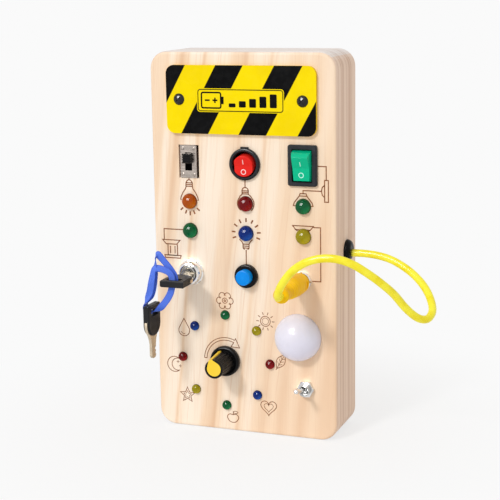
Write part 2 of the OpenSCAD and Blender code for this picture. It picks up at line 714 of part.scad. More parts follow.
module rect_rocker() color("mediumseagreen") on_face(column_x(2), switch_z) translate([0, 0, rect_pivot])
    rotate([rect_tilt, 0, 0]) {
        intersection() {
            rotate([90, 0, 90]) linear_extrude(rect_rocker_w, center = true)
                rocker_side(rect_arc_r - 0.3, rect_face, rect_valley, -3);
            rotate([90, 0, 0]) linear_extrude(3*rect_arc_r, center = true)
                rocker_end(rect_rocker_w/2, rect_face_half, 1.6, 6, -4);
            rotate([0, 90, 0]) rod(rect_arc_r, -rect_rocker_w, rect_rocker_w);
        }
        rotate([0, 90, 0]) rod(trunnion_r, -rect_open_w/2 - trunnion_in, rect_open_w/2 + trunnion_in);
        rod(1.2, -6, -3);
    }

module rect_terminals() color("silver") on_face(column_x(2), switch_z)
    blades([[0, -6], [0, 6]], 4.8, 0.8, -rect_depth);

// The lamps

// A lamp pushed in from behind: a round nose, a straight barrel and a flange
module lamp(d, nose, flange) {
    r = d/2;
    rotate_extrude() polygon(concat(
        [[0, -front_wall - flange], [r + 0.1*r + 0.15, -front_wall - flange], [r + 0.1*r + 0.15, -front_wall], [r, -front_wall]],
        [for (a = [0:9:90]) [r*cos(a), nose - r + r*sin(a)]]));
}

module big_lamp(spec) color(spec[3], 0.9) on_face(column_x(spec[1]), big_row_z[spec[2]])
    lamp(big_lamp_d, big_lamp_d/2 + 0.3, flange_t);

// Places children at the small lamp with this number, clockwise from the top
module at_ring_lamp(k) {
    a = 90 - k*360/ring_count;
    on_face(dial_x + lamp_ring_r*cos(a), dial_z + lamp_ring_r*sin(a)) children();
}

module ring_lamp(k) color(ring_colours[k%4], 0.9) at_ring_lamp(k)
    lamp(small_lamp_d, small_lamp_d/2 + 0.2, small_flange_t);

module leads(low) for (x = [-1, 1]) translate([x*lead_gap/2, 0, 0]) slab(lead_w, lead_w, low - lead_len, low);

module lamp_leads() color("silver") {
    for (lamp = big_lamps) on_face(column_x(lamp[1]), big_row_z[lamp[2]]) leads(-front_wall - flange_t);
    for (k = [0:ring_count - 1]) at_ring_lamp(k) leads(-front_wall - small_flange_t);
}

module dome_lens() color("ghostwhite", 0.95) on_face(dome_x, dome_z) rotate_extrude() {
    inner = dome_r - dome_wall;
    polygon(concat(
        [[dome_spigot_r - 1.2, -dome_spigot], [dome_spigot_r, -dome_spigot], [dome_spigot_r, 0], [dome_r, 0]],
        [for (a = [7.5:7.5:90]) [dome_r*cos(a), dome_r*sin(a)]],
        [for (a = [90:-7.5:30]) [inner*cos(a), inner*sin(a)]],
        [[dome_spigot_r - 1.2, sqrt(inner*inner - pow(dome_spigot_r - 1.2, 2))]]));
}

module dome_lamp() color("whitesmoke") on_face(dome_x, dome_z) {
    slab(dome_board_w, 2*dome_spigot_r + 4, -front_wall - 1.4, -front_wall);
    rod(dome_chip_r, -front_wall, -dome_chip_r);
    translate([0, 0, -dome_chip_r]) intersection() {
        sphere(dome_chip_r);
        rod(2*dome_chip_r, 0, 2*dome_chip_r);
    }
    leads(-front_wall - 1.4);
}

// The key switch

module lock_body() color("gainsboro") on_face(column_x(0), middle_z) rotate_extrude() polygon([
    [lock_core_r + running, -lock_depth], [lock_barrel_r, -lock_depth], [lock_barrel_r, 0], [lock_flange_r, 0],
    [lock_flange_r, 0.5], [lock_flange_r - 0.2, 0.7], [lock_collar_r, 0.8], [lock_collar_r, lock_face - 1.6],
    [lock_collar_r - 0.15, lock_face - 1.1], [lock_collar_r - 0.5, lock_face - 0.55],
    [lock_collar_r - 1, lock_face - 0.15], [lock_collar_r - 1.4, lock_face], [lock_collar_r - 1.7, lock_face],
    [lock_core_r + running + 0.15, lock_face - 0.5], [lock_core_r + running, lock_face - 0.7]]);

module lock_nut() color("silver") on_face(column_x(0), middle_z)
    hex_nut(2*lock_barrel_r + 3, lock_barrel_r + running, -front_wall - 2.5, -front_wall);

module lock_core() color("silver") on_face(column_x(0), middle_z) {
    front = lock_face + core_out;
    difference() {
        rotate_extrude() polygon([[0, -lock_depth + gap], [lock_core_r, -lock_depth + gap],
            [lock_core_r, front - 0.4], [lock_core_r - 0.4, front], [lock_core_r - 1, front],
            [lock_core_r - 1.2, front - 0.25], [0, front - 0.25]]);
        translate([0, -key_drop, 0]) slab(key_blade_w + gap, key_steel_t + gap, -keyway_depth, front + through);
    }
}

module lock_contacts() color("#8a5a34") on_face(column_x(0), middle_z) {
    rod(lock_barrel_r, -lock_depth - 5, -lock_depth);
    blades([[-2.5, 0], [2.5, 0]], 0.6, 2, -lock_depth - 5);
}

// The outline of a key's plastic head, its round end at the height low
module key_head_outline(low, inset) {
    r = key_w/2;
    translate([0, low + r]) circle(r - inset);
    translate([-r + inset, low + r]) square([key_w - 2*inset, key_head_len - r - inset]);
}

// The steel: a bow inside the head whose rim shows at the round end, and a notched blade
module key_steel(low) {
    r = key_w/2;
    b = key_blade_w/2;
    tip = low - key_blade_len;
    intersection() {
        translate([0, low + r]) circle(r + 0.5);
        translate([-r - 1, low - 1]) square([key_w + 2, r + 2.5]);
    }
    polygon([[-r + 2, low + 1.2], [-b - 0.6, low - 2], [-b, low - 4.5], [-b, tip + 1.4], [-b + 1.1, tip],
        [b - 1.1, tip], [b, tip + 1.4], [b - 0.7, tip + 2.2], [b - 0.7, tip + 2.8], [b - 0.1, tip + 3.5],
        [b - 1, tip + 4.4], [b - 1, tip + 5], [b, tip + 6], [b, low - 4.5], [b + 0.6, low - 2], [r - 2, low + 1.2]]);
}

module key_eye(low) translate([0, low + key_head_len - eye_from_end]) soft_rect(eye_w, eye_l, 1.2);

// A key's head, lying in the XY plane with its length along Y
module head_solid(low) difference() {
    hull() {
        linear_extrude(key_t - 1, center = true) key_head_outline(low, 0);
        linear_extrude(key_t, center = true) key_head_outline(low, 0.5);
    }
    linear_extrude(key_steel_t, center = true) key_steel(low);
    linear_extrude(key_t + 2*through, center = true) key_eye(low);
}

module in_lock() on_face(column_x(0), middle_z - key_drop) rotate([90, 0, 0]) children();

module key_head() color("#1b1b1f") in_lock() head_solid(key_stand);

module key_blade() color("silver") in_lock() linear_extrude(key_steel_t, center = true) key_steel(key_stand);

module hanging() translate([spare_centre[0], spare_centre[1], spare_top_z - key_head_len])
    rotate([90, 0, spare_turn]) children();

module spare_key_head() color("#1b1b1f") hanging() head_solid(0);

module spare_key_blade() color("rosybrown") hanging() linear_extrude(key_steel_t, center = true) key_steel(0);

module ribbon() color("royalblue") swept_ribbon(ribbon_route, ribbon_w, ribbon_t);

// The push button

module button_ring() color("#17171a") on_face(column_x(1), middle_z) rotate_extrude() polygon(concat(
    [[0, -button_depth], [button_body_r, -button_depth], [button_body_r, 0], [button_ring_r, 0]],
    [for (a = [0:15:90]) [button_ring_r - 0.8 + 0.8*cos(a), button_ring_h - 0.8 + 0.8*sin(a)]],
    [[button_well_r + 0.3, button_ring_h], [button_well_r, button_ring_h - 0.3],
     [button_well_r, -button_depth + button_floor], [0, -button_depth + button_floor]]));

module button_nut() color("silver") on_face(column_x(1), middle_z)
    hex_nut(2*button_body_r + 3, button_body_r + running, -front_wall - 2.2, -front_wall);

module button_cap() color("dodgerblue") on_face(column_x(1), middle_z) {
    top = button_ring_h + button_cap_out;
    rotate_extrude() polygon(concat(
        [[0, -cap_skirt], [button_cap_r, -cap_skirt]],
        [for (a = [0:15:75]) [button_cap_r - 0.7 + 0.7*cos(a), top - 0.9 + 0.7*sin(a)]],
        [[button_cap_r/2, top - 0.05], [0, top]]));
}

// The spring under the cap: one wire wound in a helix, flattened at both ends
module button_spring() color("silver") on_face(column_x(1), middle_z) {
    turns = 5;
    wire = 0.5;
    low = -button_depth + button_floor + wire/2;
    high = -cap_skirt - wire/2 - 0.05;
    rings = turns*12;
    helix = [for (i = [0:rings]) let (a = 360*i/12, s = i/rings)
        [2.8*cos(a), 2.8*sin(a), low + (high - low)*min(1, max(0, (s*turns - 0.75)/(turns - 1.5)))]];
    points = [for (i = [0:rings]) let (a = 360*i/12, out = [cos(a), sin(a), 0])
        for (k = [0:5]) helix[i] + wire/2*(cos(60*k + 30)*out + sin(60*k + 30)*[0, 0, 1])];
    polyhedron(points, tube_faces(rings + 1, 6), convexity = 10);
}

// The dial

module rotary_switch() color("#3a3a40") on_face(dial_x, dial_z) difference() {
    union() {
        rod(rotary_r, -front_wall - rotary_t, -front_wall);
        rod(rotary_bush_r, -front_wall, 0.5);
        for (k = [0:ring_count]) rotate([0, 0, 40*k]) translate([rotary_r - 2.5, 0, 0])
            slab(1.6, 0.5, -front_wall - rotary_t - 4, -front_wall - rotary_t + 0.3);
    }
    rod(dial_shaft_r + running, -front_wall - rotary_t + 1.5, through);
}

module dial_shaft() color("silver") on_face(dial_x, dial_z)
    rod(dial_shaft_r, -front_wall - rotary_t + 1.5 + gap, dial_h - 3);

module turned_dial() on_face(dial_x, dial_z) rotate([0, 0, 90 + dial_rest]) children();

// The pointer: a teardrop let into the top, with a bar that runs down the side to the skirt
module pointer_solid() {
    tip = dial_top_r - 0.1;
    touch = acos(pointer_r/(tip + 1.4));
    translate([0, 0, dial_h - pointer_t]) linear_extrude(pointer_t) {
        circle(pointer_r);
        intersection() {
            polygon([[pointer_r*cos(touch), pointer_r*sin(touch)], [0, 0],
                [pointer_r*cos(touch), -pointer_r*sin(touch)], [tip + 1.4, 0]]);
            circle(dial_top_r);
        }
    }
    rotate([90, 0, 0]) linear_extrude(pointer_bar_w, center = true) polygon([
        [dial_top_r - 0.7, dial_h], [dial_top_r + 0.15, dial_h], [dial_foot_r + 0.25, dial_clear + skirt_h],
        [dial_foot_r - 0.7, dial_clear + skirt_h]]);
}

module dial_knob() color("#1a1a1c") turned_dial() difference() {
    union() {
        rotate_extrude() polygon(concat(
            [[dial_shaft_r + 2.6, dial_clear], [dial_skirt_r, dial_clear], [dial_skirt_r, dial_clear + 1]],
            [for (a = [0:15:90]) [dial_skirt_r - 1.1 + 1.1*cos(a), dial_clear + skirt_h - 1.3 + 1.3*sin(a)]],
            [[dial_foot_r + 0.1, dial_clear + skirt_h - 0.5], [dial_shaft_r + 2.6, dial_clear + skirt_h - 0.5]]));
        difference() {
            translate([0, 0, dial_clear]) cylinder(r1 = dial_foot_r, r2 = dial_top_r, h = dial_h - dial_clear);
            lean = atan((dial_foot_r - dial_top_r)/(dial_h - dial_clear));
            for (k = [0:dial_flutes - 1]) rotate([0, 0, 360*(k + 0.5)/dial_flutes])
                translate([dial_foot_r + 0.2, 0, dial_clear]) rotate([0, -lean, 0])
                    rod(0.5, skirt_h - 0.3, dial_h - dial_clear - 0.9);
        }
    }
    pointer_solid();
    rod(rotary_bush_r + gap, 0, dial_clear + 0.5);
    rod(dial_shaft_r + running, 0, dial_h - 3);
}

module dial_pointer() color("gold") turned_dial() pointer_solid();

// The toggle

module toggle_body() color("lightgrey") on_face(toggle_x, toggle_z) difference() {
    union() {
        slab(toggle_case_w, toggle_case_h, -front_wall - toggle_case_depth, -front_wall);
        rod(toggle_bush_r, -front_wall, toggle_bush_out);
        blades([for (y = [-4.7, 0, 4.7]) [0, y]], 2, 0.8, -front_wall - toggle_case_depth + 2);
    }
    rod(toggle_ball_r + running, toggle_pivot - toggle_ball_r - 0.2, toggle_pivot);
    translate([0, 0, toggle_pivot]) cylinder(r1 = toggle_ball_r + running, r2 = toggle_bush_r - 0.55,
        h = toggle_bush_out - toggle_pivot + 0.01);
    translate([0, 0, toggle_pivot]) rotate([0, 90, 0])
        rod(toggle_pin_r + running, -toggle_pin_half - running, toggle_pin_half + running);
}

module toggle_nut() color("silver") on_face(toggle_x, toggle_z)
    intersection() {
        hex_nut(toggle_nut_af, toggle_bush_r + running, 0, toggle_nut_h);
        translate([0, 0, -1.2]) cylinder(r1 = toggle_nut_af/2 + 3.7, r2 = toggle_nut_af/2, h = toggle_nut_h + 1.2);
    }

module toggle_lever() color("gainsboro") on_face(toggle_x, toggle_z) translate([0, 0, toggle_pivot])
    rotate([-toggle_tilt, 0, 0]) {
        tip = toggle_tip_r;
        sphere(toggle_ball_r);
        rotate([0, 90, 0]) rod(toggle_pin_r, -toggle_pin_half, toggle_pin_half);
        rotate_extrude() polygon(concat([[0, 0], [0.95, 0], [1.05, 4], [tip, toggle_lever_len - 2.5]],
            [for (a = [0:15:90]) [tip*cos(a), toggle_lever_len - tip + tip*sin(a)]]));
    }

// The plug, its socket, the cord and its grommet

module socket_body() color("#202024") on_face(socket_x, socket_z) difference() {
    union() {
        slab(socket_case_w, socket_case_h, -front_wall - socket_case_depth, -front_wall);
        rod(socket_thread_r, -front_wall, socket_nut_h - 0.2);
        blades([[-3, 3.5], [3, 3.5], [0, -4]], 0.6, 2, -front_wall - socket_case_depth);
    }
    rod(pin_r + running, -pin_depth - 1, socket_nut_h + through);
}

module socket_nut() color("silver") on_face(socket_x, socket_z) difference() {
    rotate_extrude() polygon([[socket_thread_r + running, 0], [socket_nut_r, 0], [socket_nut_r, socket_nut_h - 0.4],
        [socket_nut_r - 0.4, socket_nut_h], [socket_thread_r + running, socket_nut_h]]);
    for (a = [0, 90]) rotate([0, 0, a]) slab(2*socket_nut_r + 1, 0.8, socket_nut_h - 0.7, socket_nut_h + through);
}

module plug_pin() color("silver") on_face(socket_x, socket_z) {
    r = pin_r;
    rotate_extrude() polygon([[0, -pin_depth], [0.5*r, -pin_depth], [r, -pin_depth + 1.2], [r, -pin_depth + 2],
        [0.7*r, -pin_depth + 2.8], [r, -pin_depth + 3.6], [r, socket_nut_h + gap], [collar_r, socket_nut_h + gap],
        [collar_r, handle_start], [0, handle_start]]);
}

module plug_handle() color("gold") on_face(socket_x, socket_z) {
    end = handle_start + handle_len;
    r = handle_r;
    rib = 1.6;
    difference() {
        rotate_extrude() polygon(concat(
            [[0, handle_start], [r - 0.8, handle_start], [r - 0.25, handle_start + 0.25], [r, handle_start + 0.9],
             [r + 0.05, handle_start + 5], [r + 0.05, handle_start + 9], [r - 0.15, handle_start + 12.5],
             [r - 0.6, handle_start + 15.2]],
            [for (i = [0:3]) for (q = [[0, -0.5], [0.1, -0.9], [0.5, -0.9], [0.8, -0.4], [1.2, -0.4]])
                [r - 0.55 - 0.27*i + q[1] + 0.35, handle_start + 15.8 + rib*i + q[0]]],
            [[r - 1.8, end - 6.6], [r - 1.85, end - 4.6], [r - 1.65, end - 3.4], [r - 1.3, end - 2.4],
             [r - 1.2, end - 1.4], [r - 1.4, end - 0.6], [r - 1.8, end - 0.1], [r - 2.1, end], [0, end]]));
        for (s = [-1, 1]) translate([s*(r + 1.6), 0, handle_start + 5]) rotate([0, 90, 0])
            rod(2.7, -2.1, 2.1);
    }
}

module cord() color("yellow") swept_tube(cord_route, cord_d, cord_sides);

// Puts children on the right side at the grommet, with their +Z pointing out of the wood
module on_side() translate([board_w/2, 0, grommet_z]) rotate([0, 90, 0]) children();

module grommet() color("#141416") on_side() {
    nose = cord_d/2 + 1;
    rotate_extrude() polygon(concat(
        [[0, -side_wall - 2.2], [grommet_neck_r - 0.3, -side_wall - 2.2], [grommet_neck_r + 0.6, -side_wall - gap],
         [grommet_neck_r, -side_wall - gap], [grommet_neck_r, 0], [grommet_r, 0], [grommet_r, 0.5]],
        [for (a = [0:15:90]) [nose + (grommet_r - nose)*cos(a), 0.5 + (grommet_out - 0.5)*sin(a)]],
        [[0, grommet_out]]));
}

// The pieces

wood_body();
back_panel();
back_screws();
hazard_plate();
plate_screws();
battery_tray();
batteries();
battery_contacts();
slide_frame();
slide_base();
slide_finger();
round_bezel();
round_rocker();
round_terminals();
rect_bezel();
rect_rocker();
rect_terminals();
for (lamp = big_lamps) big_lamp(lamp);
for (k = [0:ring_count - 1]) ring_lamp(k);
lamp_leads();
dome_lens();
dome_lamp();
lock_body();
lock_nut();
lock_core();
lock_contacts();
key_head();
key_blade();
ribbon();
spare_key_head();
spare_key_blade();
button_ring();
button_nut();
button_cap();
button_spring();
rotary_switch();
dial_shaft();
dial_knob();
dial_pointer();
toggle_body();
toggle_nut();
toggle_lever();
socket_body();
socket_nut();
plug_pin();
plug_handle();
cord();
grommet();
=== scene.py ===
import json
import math

import bpy
from mathutils import Matrix, Vector


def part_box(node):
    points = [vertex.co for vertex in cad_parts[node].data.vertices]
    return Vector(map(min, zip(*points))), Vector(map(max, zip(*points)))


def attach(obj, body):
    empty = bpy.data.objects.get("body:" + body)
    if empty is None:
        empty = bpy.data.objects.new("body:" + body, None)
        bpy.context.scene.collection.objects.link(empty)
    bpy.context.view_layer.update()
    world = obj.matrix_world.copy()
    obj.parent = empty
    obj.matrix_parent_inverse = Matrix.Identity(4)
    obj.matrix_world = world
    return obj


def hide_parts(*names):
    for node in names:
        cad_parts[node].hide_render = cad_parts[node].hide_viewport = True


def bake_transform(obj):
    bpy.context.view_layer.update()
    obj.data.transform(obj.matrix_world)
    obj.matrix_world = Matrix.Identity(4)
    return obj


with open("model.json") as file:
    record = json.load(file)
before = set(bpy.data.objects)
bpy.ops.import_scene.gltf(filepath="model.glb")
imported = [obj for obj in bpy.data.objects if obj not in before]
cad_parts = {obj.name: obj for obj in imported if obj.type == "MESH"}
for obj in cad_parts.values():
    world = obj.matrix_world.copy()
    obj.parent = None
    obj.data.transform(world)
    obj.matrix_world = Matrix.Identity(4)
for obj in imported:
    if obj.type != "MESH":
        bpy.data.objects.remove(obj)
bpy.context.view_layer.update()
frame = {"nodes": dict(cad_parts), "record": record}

nodes = frame["nodes"]
MM = 0.001
FACE = -17.5                      # the front face of the wood, in mm
PLATE = FACE - 2                  # the front face of the striped plate
LIFT = 0.03                       # how far a drawing stands proud of its ground, in mm


def lin(r, g, b):
    """A colour as a screen shows it, 0 to 255, in Blender's linear numbers."""
    return tuple(((c / 255 + 0.055) / 1.055) ** 2.4 if c > 10 else c / 3294 for c in (r, g, b)) + (1,)


# Camera, as solved from the block's outline in the photograph ----------------------------------

AZIMUTH, ELEVATION, ROLL = 20.789, 11.692, -0.933    # in degrees
CAMERA_AT = (236.205, -630.387, 234.555)             # in mm
LENS, SENSOR = 93.717, 36                            # in mm


def place_camera():
    az, el, roll = (math.radians(a) for a in (AZIMUTH, ELEVATION, ROLL))
    back = Vector((math.sin(az) * math.cos(el), -math.cos(az) * math.cos(el), math.sin(el)))
    right = Vector((math.cos(az), math.sin(az), 0))
    up = back.cross(right)
    r2 = right * math.cos(roll) + up * math.sin(roll)
    u2 = up * math.cos(roll) - right * math.sin(roll)
    data = bpy.data.cameras.new("camera")
    data.sensor_width, data.lens = SENSOR, LENS
    data.clip_start, data.clip_end = 0.02, 50
    cam = bpy.data.objects.new("camera", data)
    bpy.context.scene.collection.objects.link(cam)
    turn = Matrix((r2, u2, back)).transposed().to_4x4()
    cam.matrix_world = Matrix.Translation(Vector(CAMERA_AT) * MM) @ turn
    bpy.context.scene.camera = cam


place_camera()

# Mesh helpers ----------------------------------------------------------------------------


def mesh_object(name, verts, faces, smooth=False):
    """A mesh from points in mm."""
    me = bpy.data.meshes.new(name)
    me.from_pydata([tuple(c * MM for c in v) for v in verts], [], faces)
    me.validate()
    me.polygons.foreach_set("use_smooth", [smooth] * len(me.polygons))
    me.update()
    ob = bpy.data.objects.new(name, me)
    bpy.context.scene.collection.objects.link(ob)
    return ob


def spline(points, steps):
    """Catmull-Rom points through the given ones."""
    out = []
    n = len(points)
    for i in range(n - 1):
        p = [points[max(0, i - 1)], points[i], points[i + 1], points[min(n - 1, i + 2)]]
        for s in range(steps):
            t = s / steps
            out.append([0.5 * (2 * b + (c - a) * t + (2 * a - 5 * b + 4 * c - d) * t * t
                               + (3 * b - a - 3 * c + d) * t ** 3) for a, b, c, d in zip(*p)])
    out.append(list(points[-1]))
    return out


def sweep(name, path, section, frames):
    """A closed tube: section gives (a, b) offsets along the two directions of each frame."""
    k = len(section)
    verts, faces = [], []
    for p, (u, v) in zip(path, frames):
        verts += [tuple(Vector(p[:3]) + u * a + v * b) for a, b in section]
    for i in range(len(path) - 1):
        for j in range(k):
            a, b = i * k + j, i * k + (j + 1) % k
            faces.append((a, b, b + k, a + k))
    faces.append(tuple(reversed(range(k))))
    faces.append(tuple(range((len(path) - 1) * k, len(path) * k)))
    return mesh_object(name, verts, faces, smooth=True)


def tangents(path):
    n = len(path)
    return [(Vector(path[min(n - 1, i + 1)][:3]) - Vector(path[max(0, i - 1)][:3])).normalized()
            for i in range(n)]


def gaps(path):
    """The distance from each point of a path to the next."""
    return [(Vector(a[:3]) - Vector(b[:3])).length for a, b in zip(path, path[1:])]


def disc(r, n):
    return [(r * math.cos(math.tau * k / n), r * math.sin(math.tau * k / n)) for k in range(n)]


# Cord, ribbon and spring ----------------------------------------------------------------------

SPAN_POINTS = 5                   # points from one given point of a route to the next
CORD_D, CORD_SIDES = 3.9, 20
RIBBON_W, RIBBON_T = 3.6, 0.5
SPRING_TURNS, TURN_POINTS = 5, 24
FLAT_TURNS = 0.75                 # the part of a turn that lies flat at each end
WIRE_D, WIRE_SIDES = 0.5, 10

# the same routes as in the CAD, in mm; the ribbon's fourth number is its twist in degrees
CORD = [
    (53, 0, 96.8), (60, 0, 96.8), (67.3, -0.5, 96.2), (74.5, -2, 94.7), (81.5, -4.5, 92),
    (88, -8, 88.6), (94, -13, 84.4), (98.5, -19, 79.8), (101, -26, 75.8), (100, -32.5, 73.5),
    (96.5, -38, 75.2), (92, -43.5, 81), (87.5, -49, 88.8), (82.5, -54.5, 95.2), (77, -59, 100.6),
    (71, -62, 104.9), (64, -64, 107.3), (57, -64.9, 107.3), (50.5, -64.9, 105.5), (45.3, -64.4, 102.6),
    (41.3, -63.7, 99.2), (38, -62.6, 95.3), (35.2, -61, 91.2), (33.2, -58.6, 87.4), (31.9, -55.2, 84.5),
    (31.9, -52, 84.5)]
RIBBON = [
    (-29.4, -39.2, 85.2, 0), (-29.6, -39.4, 88, 0), (-31.4, -39.8, 91.2, 0), (-34.4, -40, 94.8, 0),
    (-36.9, -40.2, 97.6, 10), (-38.4, -40.4, 98.9, 40), (-39.3, -40.4, 97.4, 70), (-39.5, -40.2, 94, 55),
    (-39.9, -39.9, 90.6, 22), (-40.8, -39.6, 86, -6), (-41.7, -39.5, 81, -12), (-42.8, -39.5, 77, 10),
    (-44.3, -39.7, 74.4, 50), (-45.3, -40, 72.2, 82), (-45.4, -40.2, 70.4, 90), (-44.4, -40.4, 68.9, 90),
    (-42.4, -40.5, 68.6, 90), (-40.2, -40.6, 68.8, 75), (-37.8, -40.6, 70.4, 35), (-35.6, -40.6, 72.8, 0),
    (-33.2, -40.5, 76, 0), (-31.4, -40.5, 79.4, 0), (-30.6, -40.6, 82.6, 0), (-30.4, -40.7, 87, 0),
    (-31.9, -40.9, 89.8, 0), (-35.2, -41, 91.2, 0), (-38.2, -41.1, 91.6, 8), (-40.1, -41.3, 90.8, 25),
    (-40.9, -41.3, 87.6, 12), (-41.9, -41.2, 83, -10), (-42.9, -41.2, 78.6, -8), (-44.6, -41.2, 75.2, 30),
    (-46, -41.1, 72.6, 74), (-46.2, -41, 70, 90), (-44.9, -40.9, 67.6, 90), (-42.4, -40.9, 67.5, 90)]


def make_cord():
    """The cord: one tube along its route, from the block to the plug."""
    path = spline(CORD, SPAN_POINTS)
    t = tangents(path)
    t[0], t[-1] = Vector((1, 0, 0)), Vector((0, 1, 0))
    frames = []
    side = Vector((0, 0, 1)).cross(t[0]).normalized()
    for d in t:
        side = (side - d * side.dot(d)).normalized()
        frames.append((side, d.cross(side)))
    ob = sweep("cord_cable", path, disc(CORD_D / 2, CORD_SIDES), frames)
    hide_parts("cord")
    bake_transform(ob)
    return ob


def make_ribbon():
    """The ribbon: a flat band, thick at its edges, that hangs between the two keys."""
    path = spline(RIBBON, SPAN_POINTS)
    frames = []
    for p, t in zip(path, tangents(path)):
        flat = t.cross(Vector((0, 1, 0))).normalized()
        face = t.cross(flat)
        a = math.radians(p[3])
        frames.append((flat * math.cos(a) + face * math.sin(a),
                       face * math.cos(a) - flat * math.sin(a)))
    w, h = RIBBON_W / 2, RIBBON_T / 2
    section = [(w, 0.25 * h), (0.93 * w, 0.85 * h), (0.8 * w, h), (0.4 * w, 0.82 * h), (0, 0.75 * h),
               (-0.4 * w, 0.82 * h), (-0.8 * w, h), (-0.93 * w, 0.85 * h), (-w, 0.25 * h)]
    section += [(-a, -b) for a, b in section]
    ob = sweep("ribbon_loop", path, section, frames)
    # lengthwise and crosswise coordinates, in mm, for the weave
    uv = ob.data.uv_layers.new(name="weave")
    run = [0.0]
    for gap in gaps(path):
        run.append(run[-1] + gap)
    k = len(section)
    for poly in ob.data.polygons:
        for li in poly.loop_indices:
            v = ob.data.loops[li].vertex_index
            uv.data[li].uv = (run[v // k], section[v % k][0])
    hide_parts("ribbon")
    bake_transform(ob)
    return ob


def make_spring():
    """The button's spring: one helix from its back end, at the block, to its front end, at the cap."""
    lo, hi = (Vector(c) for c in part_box("button_spring"))
    mid, r = (lo + hi) / 2 / MM, WIRE_D / 2
    coil_r = (hi.z / MM - lo.z / MM) / 2 - r
    back, front = hi.y / MM - r, lo.y / MM + r
    steps = SPRING_TURNS * TURN_POINTS
    path, frames = [], []
    for i in range(steps + 1):
        a, s = math.tau * i / TURN_POINTS, SPRING_TURNS * i / steps
        rise = min(1, max(0, (s - FLAT_TURNS) / (SPRING_TURNS - 2 * FLAT_TURNS)))
        out = Vector((math.cos(a), 0, math.sin(a)))
        path.append(Vector((mid.x, back + (front - back) * rise, mid.z)) + out * coil_r)
        frames.append((out, Vector((0, -1, 0))))
    ob = sweep("spring_coil", path, disc(r, WIRE_SIDES), frames)
    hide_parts("button_spring")
    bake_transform(ob)
    return ob


cord_cable = make_cord()
ribbon_loop = make_ribbon()
spring_coil = make_spring()

# Material helpers ----------------------------------------------------------------------------


class Mat:
    """A node material. Its numbers are plain sockets, and its patterns use the object's own coordinates."""

    def __init__(self, name, **sockets):
        self.m = bpy.data.materials.new(name)
        self.m.use_nodes = True
        self.t = self.m.node_tree
        self.b = self.t.nodes["Principled BSDF"]
        for k, v in sockets.items():
            self.b.inputs[k.replace("_", " ")].default_value = v
        c = self.n("ShaderNodeTexCoord")
        self.p, self.normal, self.uv = c.outputs["Object"], c.outputs["Normal"], c.outputs["UV"]

    def n(self, kind, **props):
        node = self.t.nodes.new(kind)
        for k, v in props.items():
            setattr(node, k, v)
        return node

    def put(self, value, socket):
        if isinstance(value, bpy.types.NodeSocket):
            self.t.links.new(value, socket)
        else:
            socket.default_value = value

    def math(self, op, a, b=0.0, c=0.0):
        node = self.n("ShaderNodeMath", operation=op)
        for v, s in zip((a, b, c), node.inputs):
            self.put(v, s)
        return node.outputs[0]

    def xyz(self, vector=None):
        node = self.n("ShaderNodeSeparateXYZ")
        self.put(vector or self.p, node.inputs[0])
        return node.outputs

    def join(self, x, y, z):
        node = self.n("ShaderNodeCombineXYZ")
        for v, s in zip((x, y, z), node.inputs):
            self.put(v, s)
        return node.outputs[0]

    def scaled(self, sx, sy, sz):
        node = self.n("ShaderNodeMapping")
        self.put(self.p, node.inputs["Vector"])
        node.inputs["Scale"].default_value = (sx, sy, sz)
        return node.outputs[0]

    def noise(self, scale, detail=3.0, rough=0.5, vector=None, distort=0.0):
        node = self.n("ShaderNodeTexNoise")
        self.put(vector or self.p, node.inputs["Vector"])
        node.inputs["Scale"].default_value = scale
        node.inputs["Detail"].default_value = detail
        node.inputs["Roughness"].default_value = rough
        node.inputs["Distortion"].default_value = distort
        return node.outputs["Fac"]

    def ramp(self, fac, stops, kind="LINEAR"):
        node = self.n("ShaderNodeValToRGB")
        node.color_ramp.interpolation = kind
        e = node.color_ramp.elements
        while len(e) < len(stops):
            e.new(0.5)
        for el, (pos, col) in zip(e, stops):
            el.position = pos
            el.color = col if hasattr(col, "__len__") else (col, col, col, 1)
        self.put(fac, node.inputs["Fac"])
        return node.outputs["Color"]

    def range(self, value, a, b, c=0.0, d=1.0):
        """value from a to b becomes c to d, with a smooth start and end."""
        node = self.n("ShaderNodeMapRange", interpolation_type="SMOOTHSTEP")
        self.put(value, node.inputs["Value"])
        for k, v in zip(("From Min", "From Max", "To Min", "To Max"), (a, b, c, d)):
            node.inputs[k].default_value = v
        return node.outputs["Result"]

    def mix(self, fac, a, b):
        node = self.n("ShaderNodeMix", data_type="RGBA")
        self.put(fac, node.inputs["Factor"])
        self.put(a, node.inputs[6])
        self.put(b, node.inputs[7])
        return node.outputs[2]

    def colour(self, value):
        self.put(value, self.b.inputs["Base Color"])
        return self

    def rough(self, value):
        self.put(value, self.b.inputs["Roughness"])
        return self

    def bump(self, height, distance, strength=1.0):
        node = self.n("ShaderNodeBump")
        node.inputs["Strength"].default_value = strength
        node.inputs["Distance"].default_value = distance
        self.put(height, node.inputs["Height"])
        self.t.links.new(node.outputs[0], self.b.inputs["Normal"])
        return self

    def edges(self):
        """0 on flat places, towards 1 on worn convex edges."""
        g = self.n("ShaderNodeNewGeometry")
        return self.range(g.outputs["Pointiness"], 0.51, 0.58)


def moulded(name, colour, light=None, rough=0.35, coat=0.0, spec=0.08):
    """Moulded plastic: a little mottling, a fine grain, and slightly lighter worn edges."""
    m = Mat(name, Coat_Weight=coat, Coat_Roughness=0.1, Specular_IOR_Level=spec)
    light = light or tuple(min(1, c * 1.3 + 0.006) for c in colour[:3]) + (1,)
    cloud = m.noise(140, 3)
    base = m.mix(m.range(cloud, 0.35, 0.7, 0, 0.3), colour, light)
    m.colour(m.mix(m.math("MULTIPLY", m.edges(), 0.5), base, light))
    m.rough(m.range(m.noise(260, 2), 0.3, 0.7, rough - 0.05, rough + 0.07))
    return m.bump(m.noise(4800, 2), 0.02 * MM)


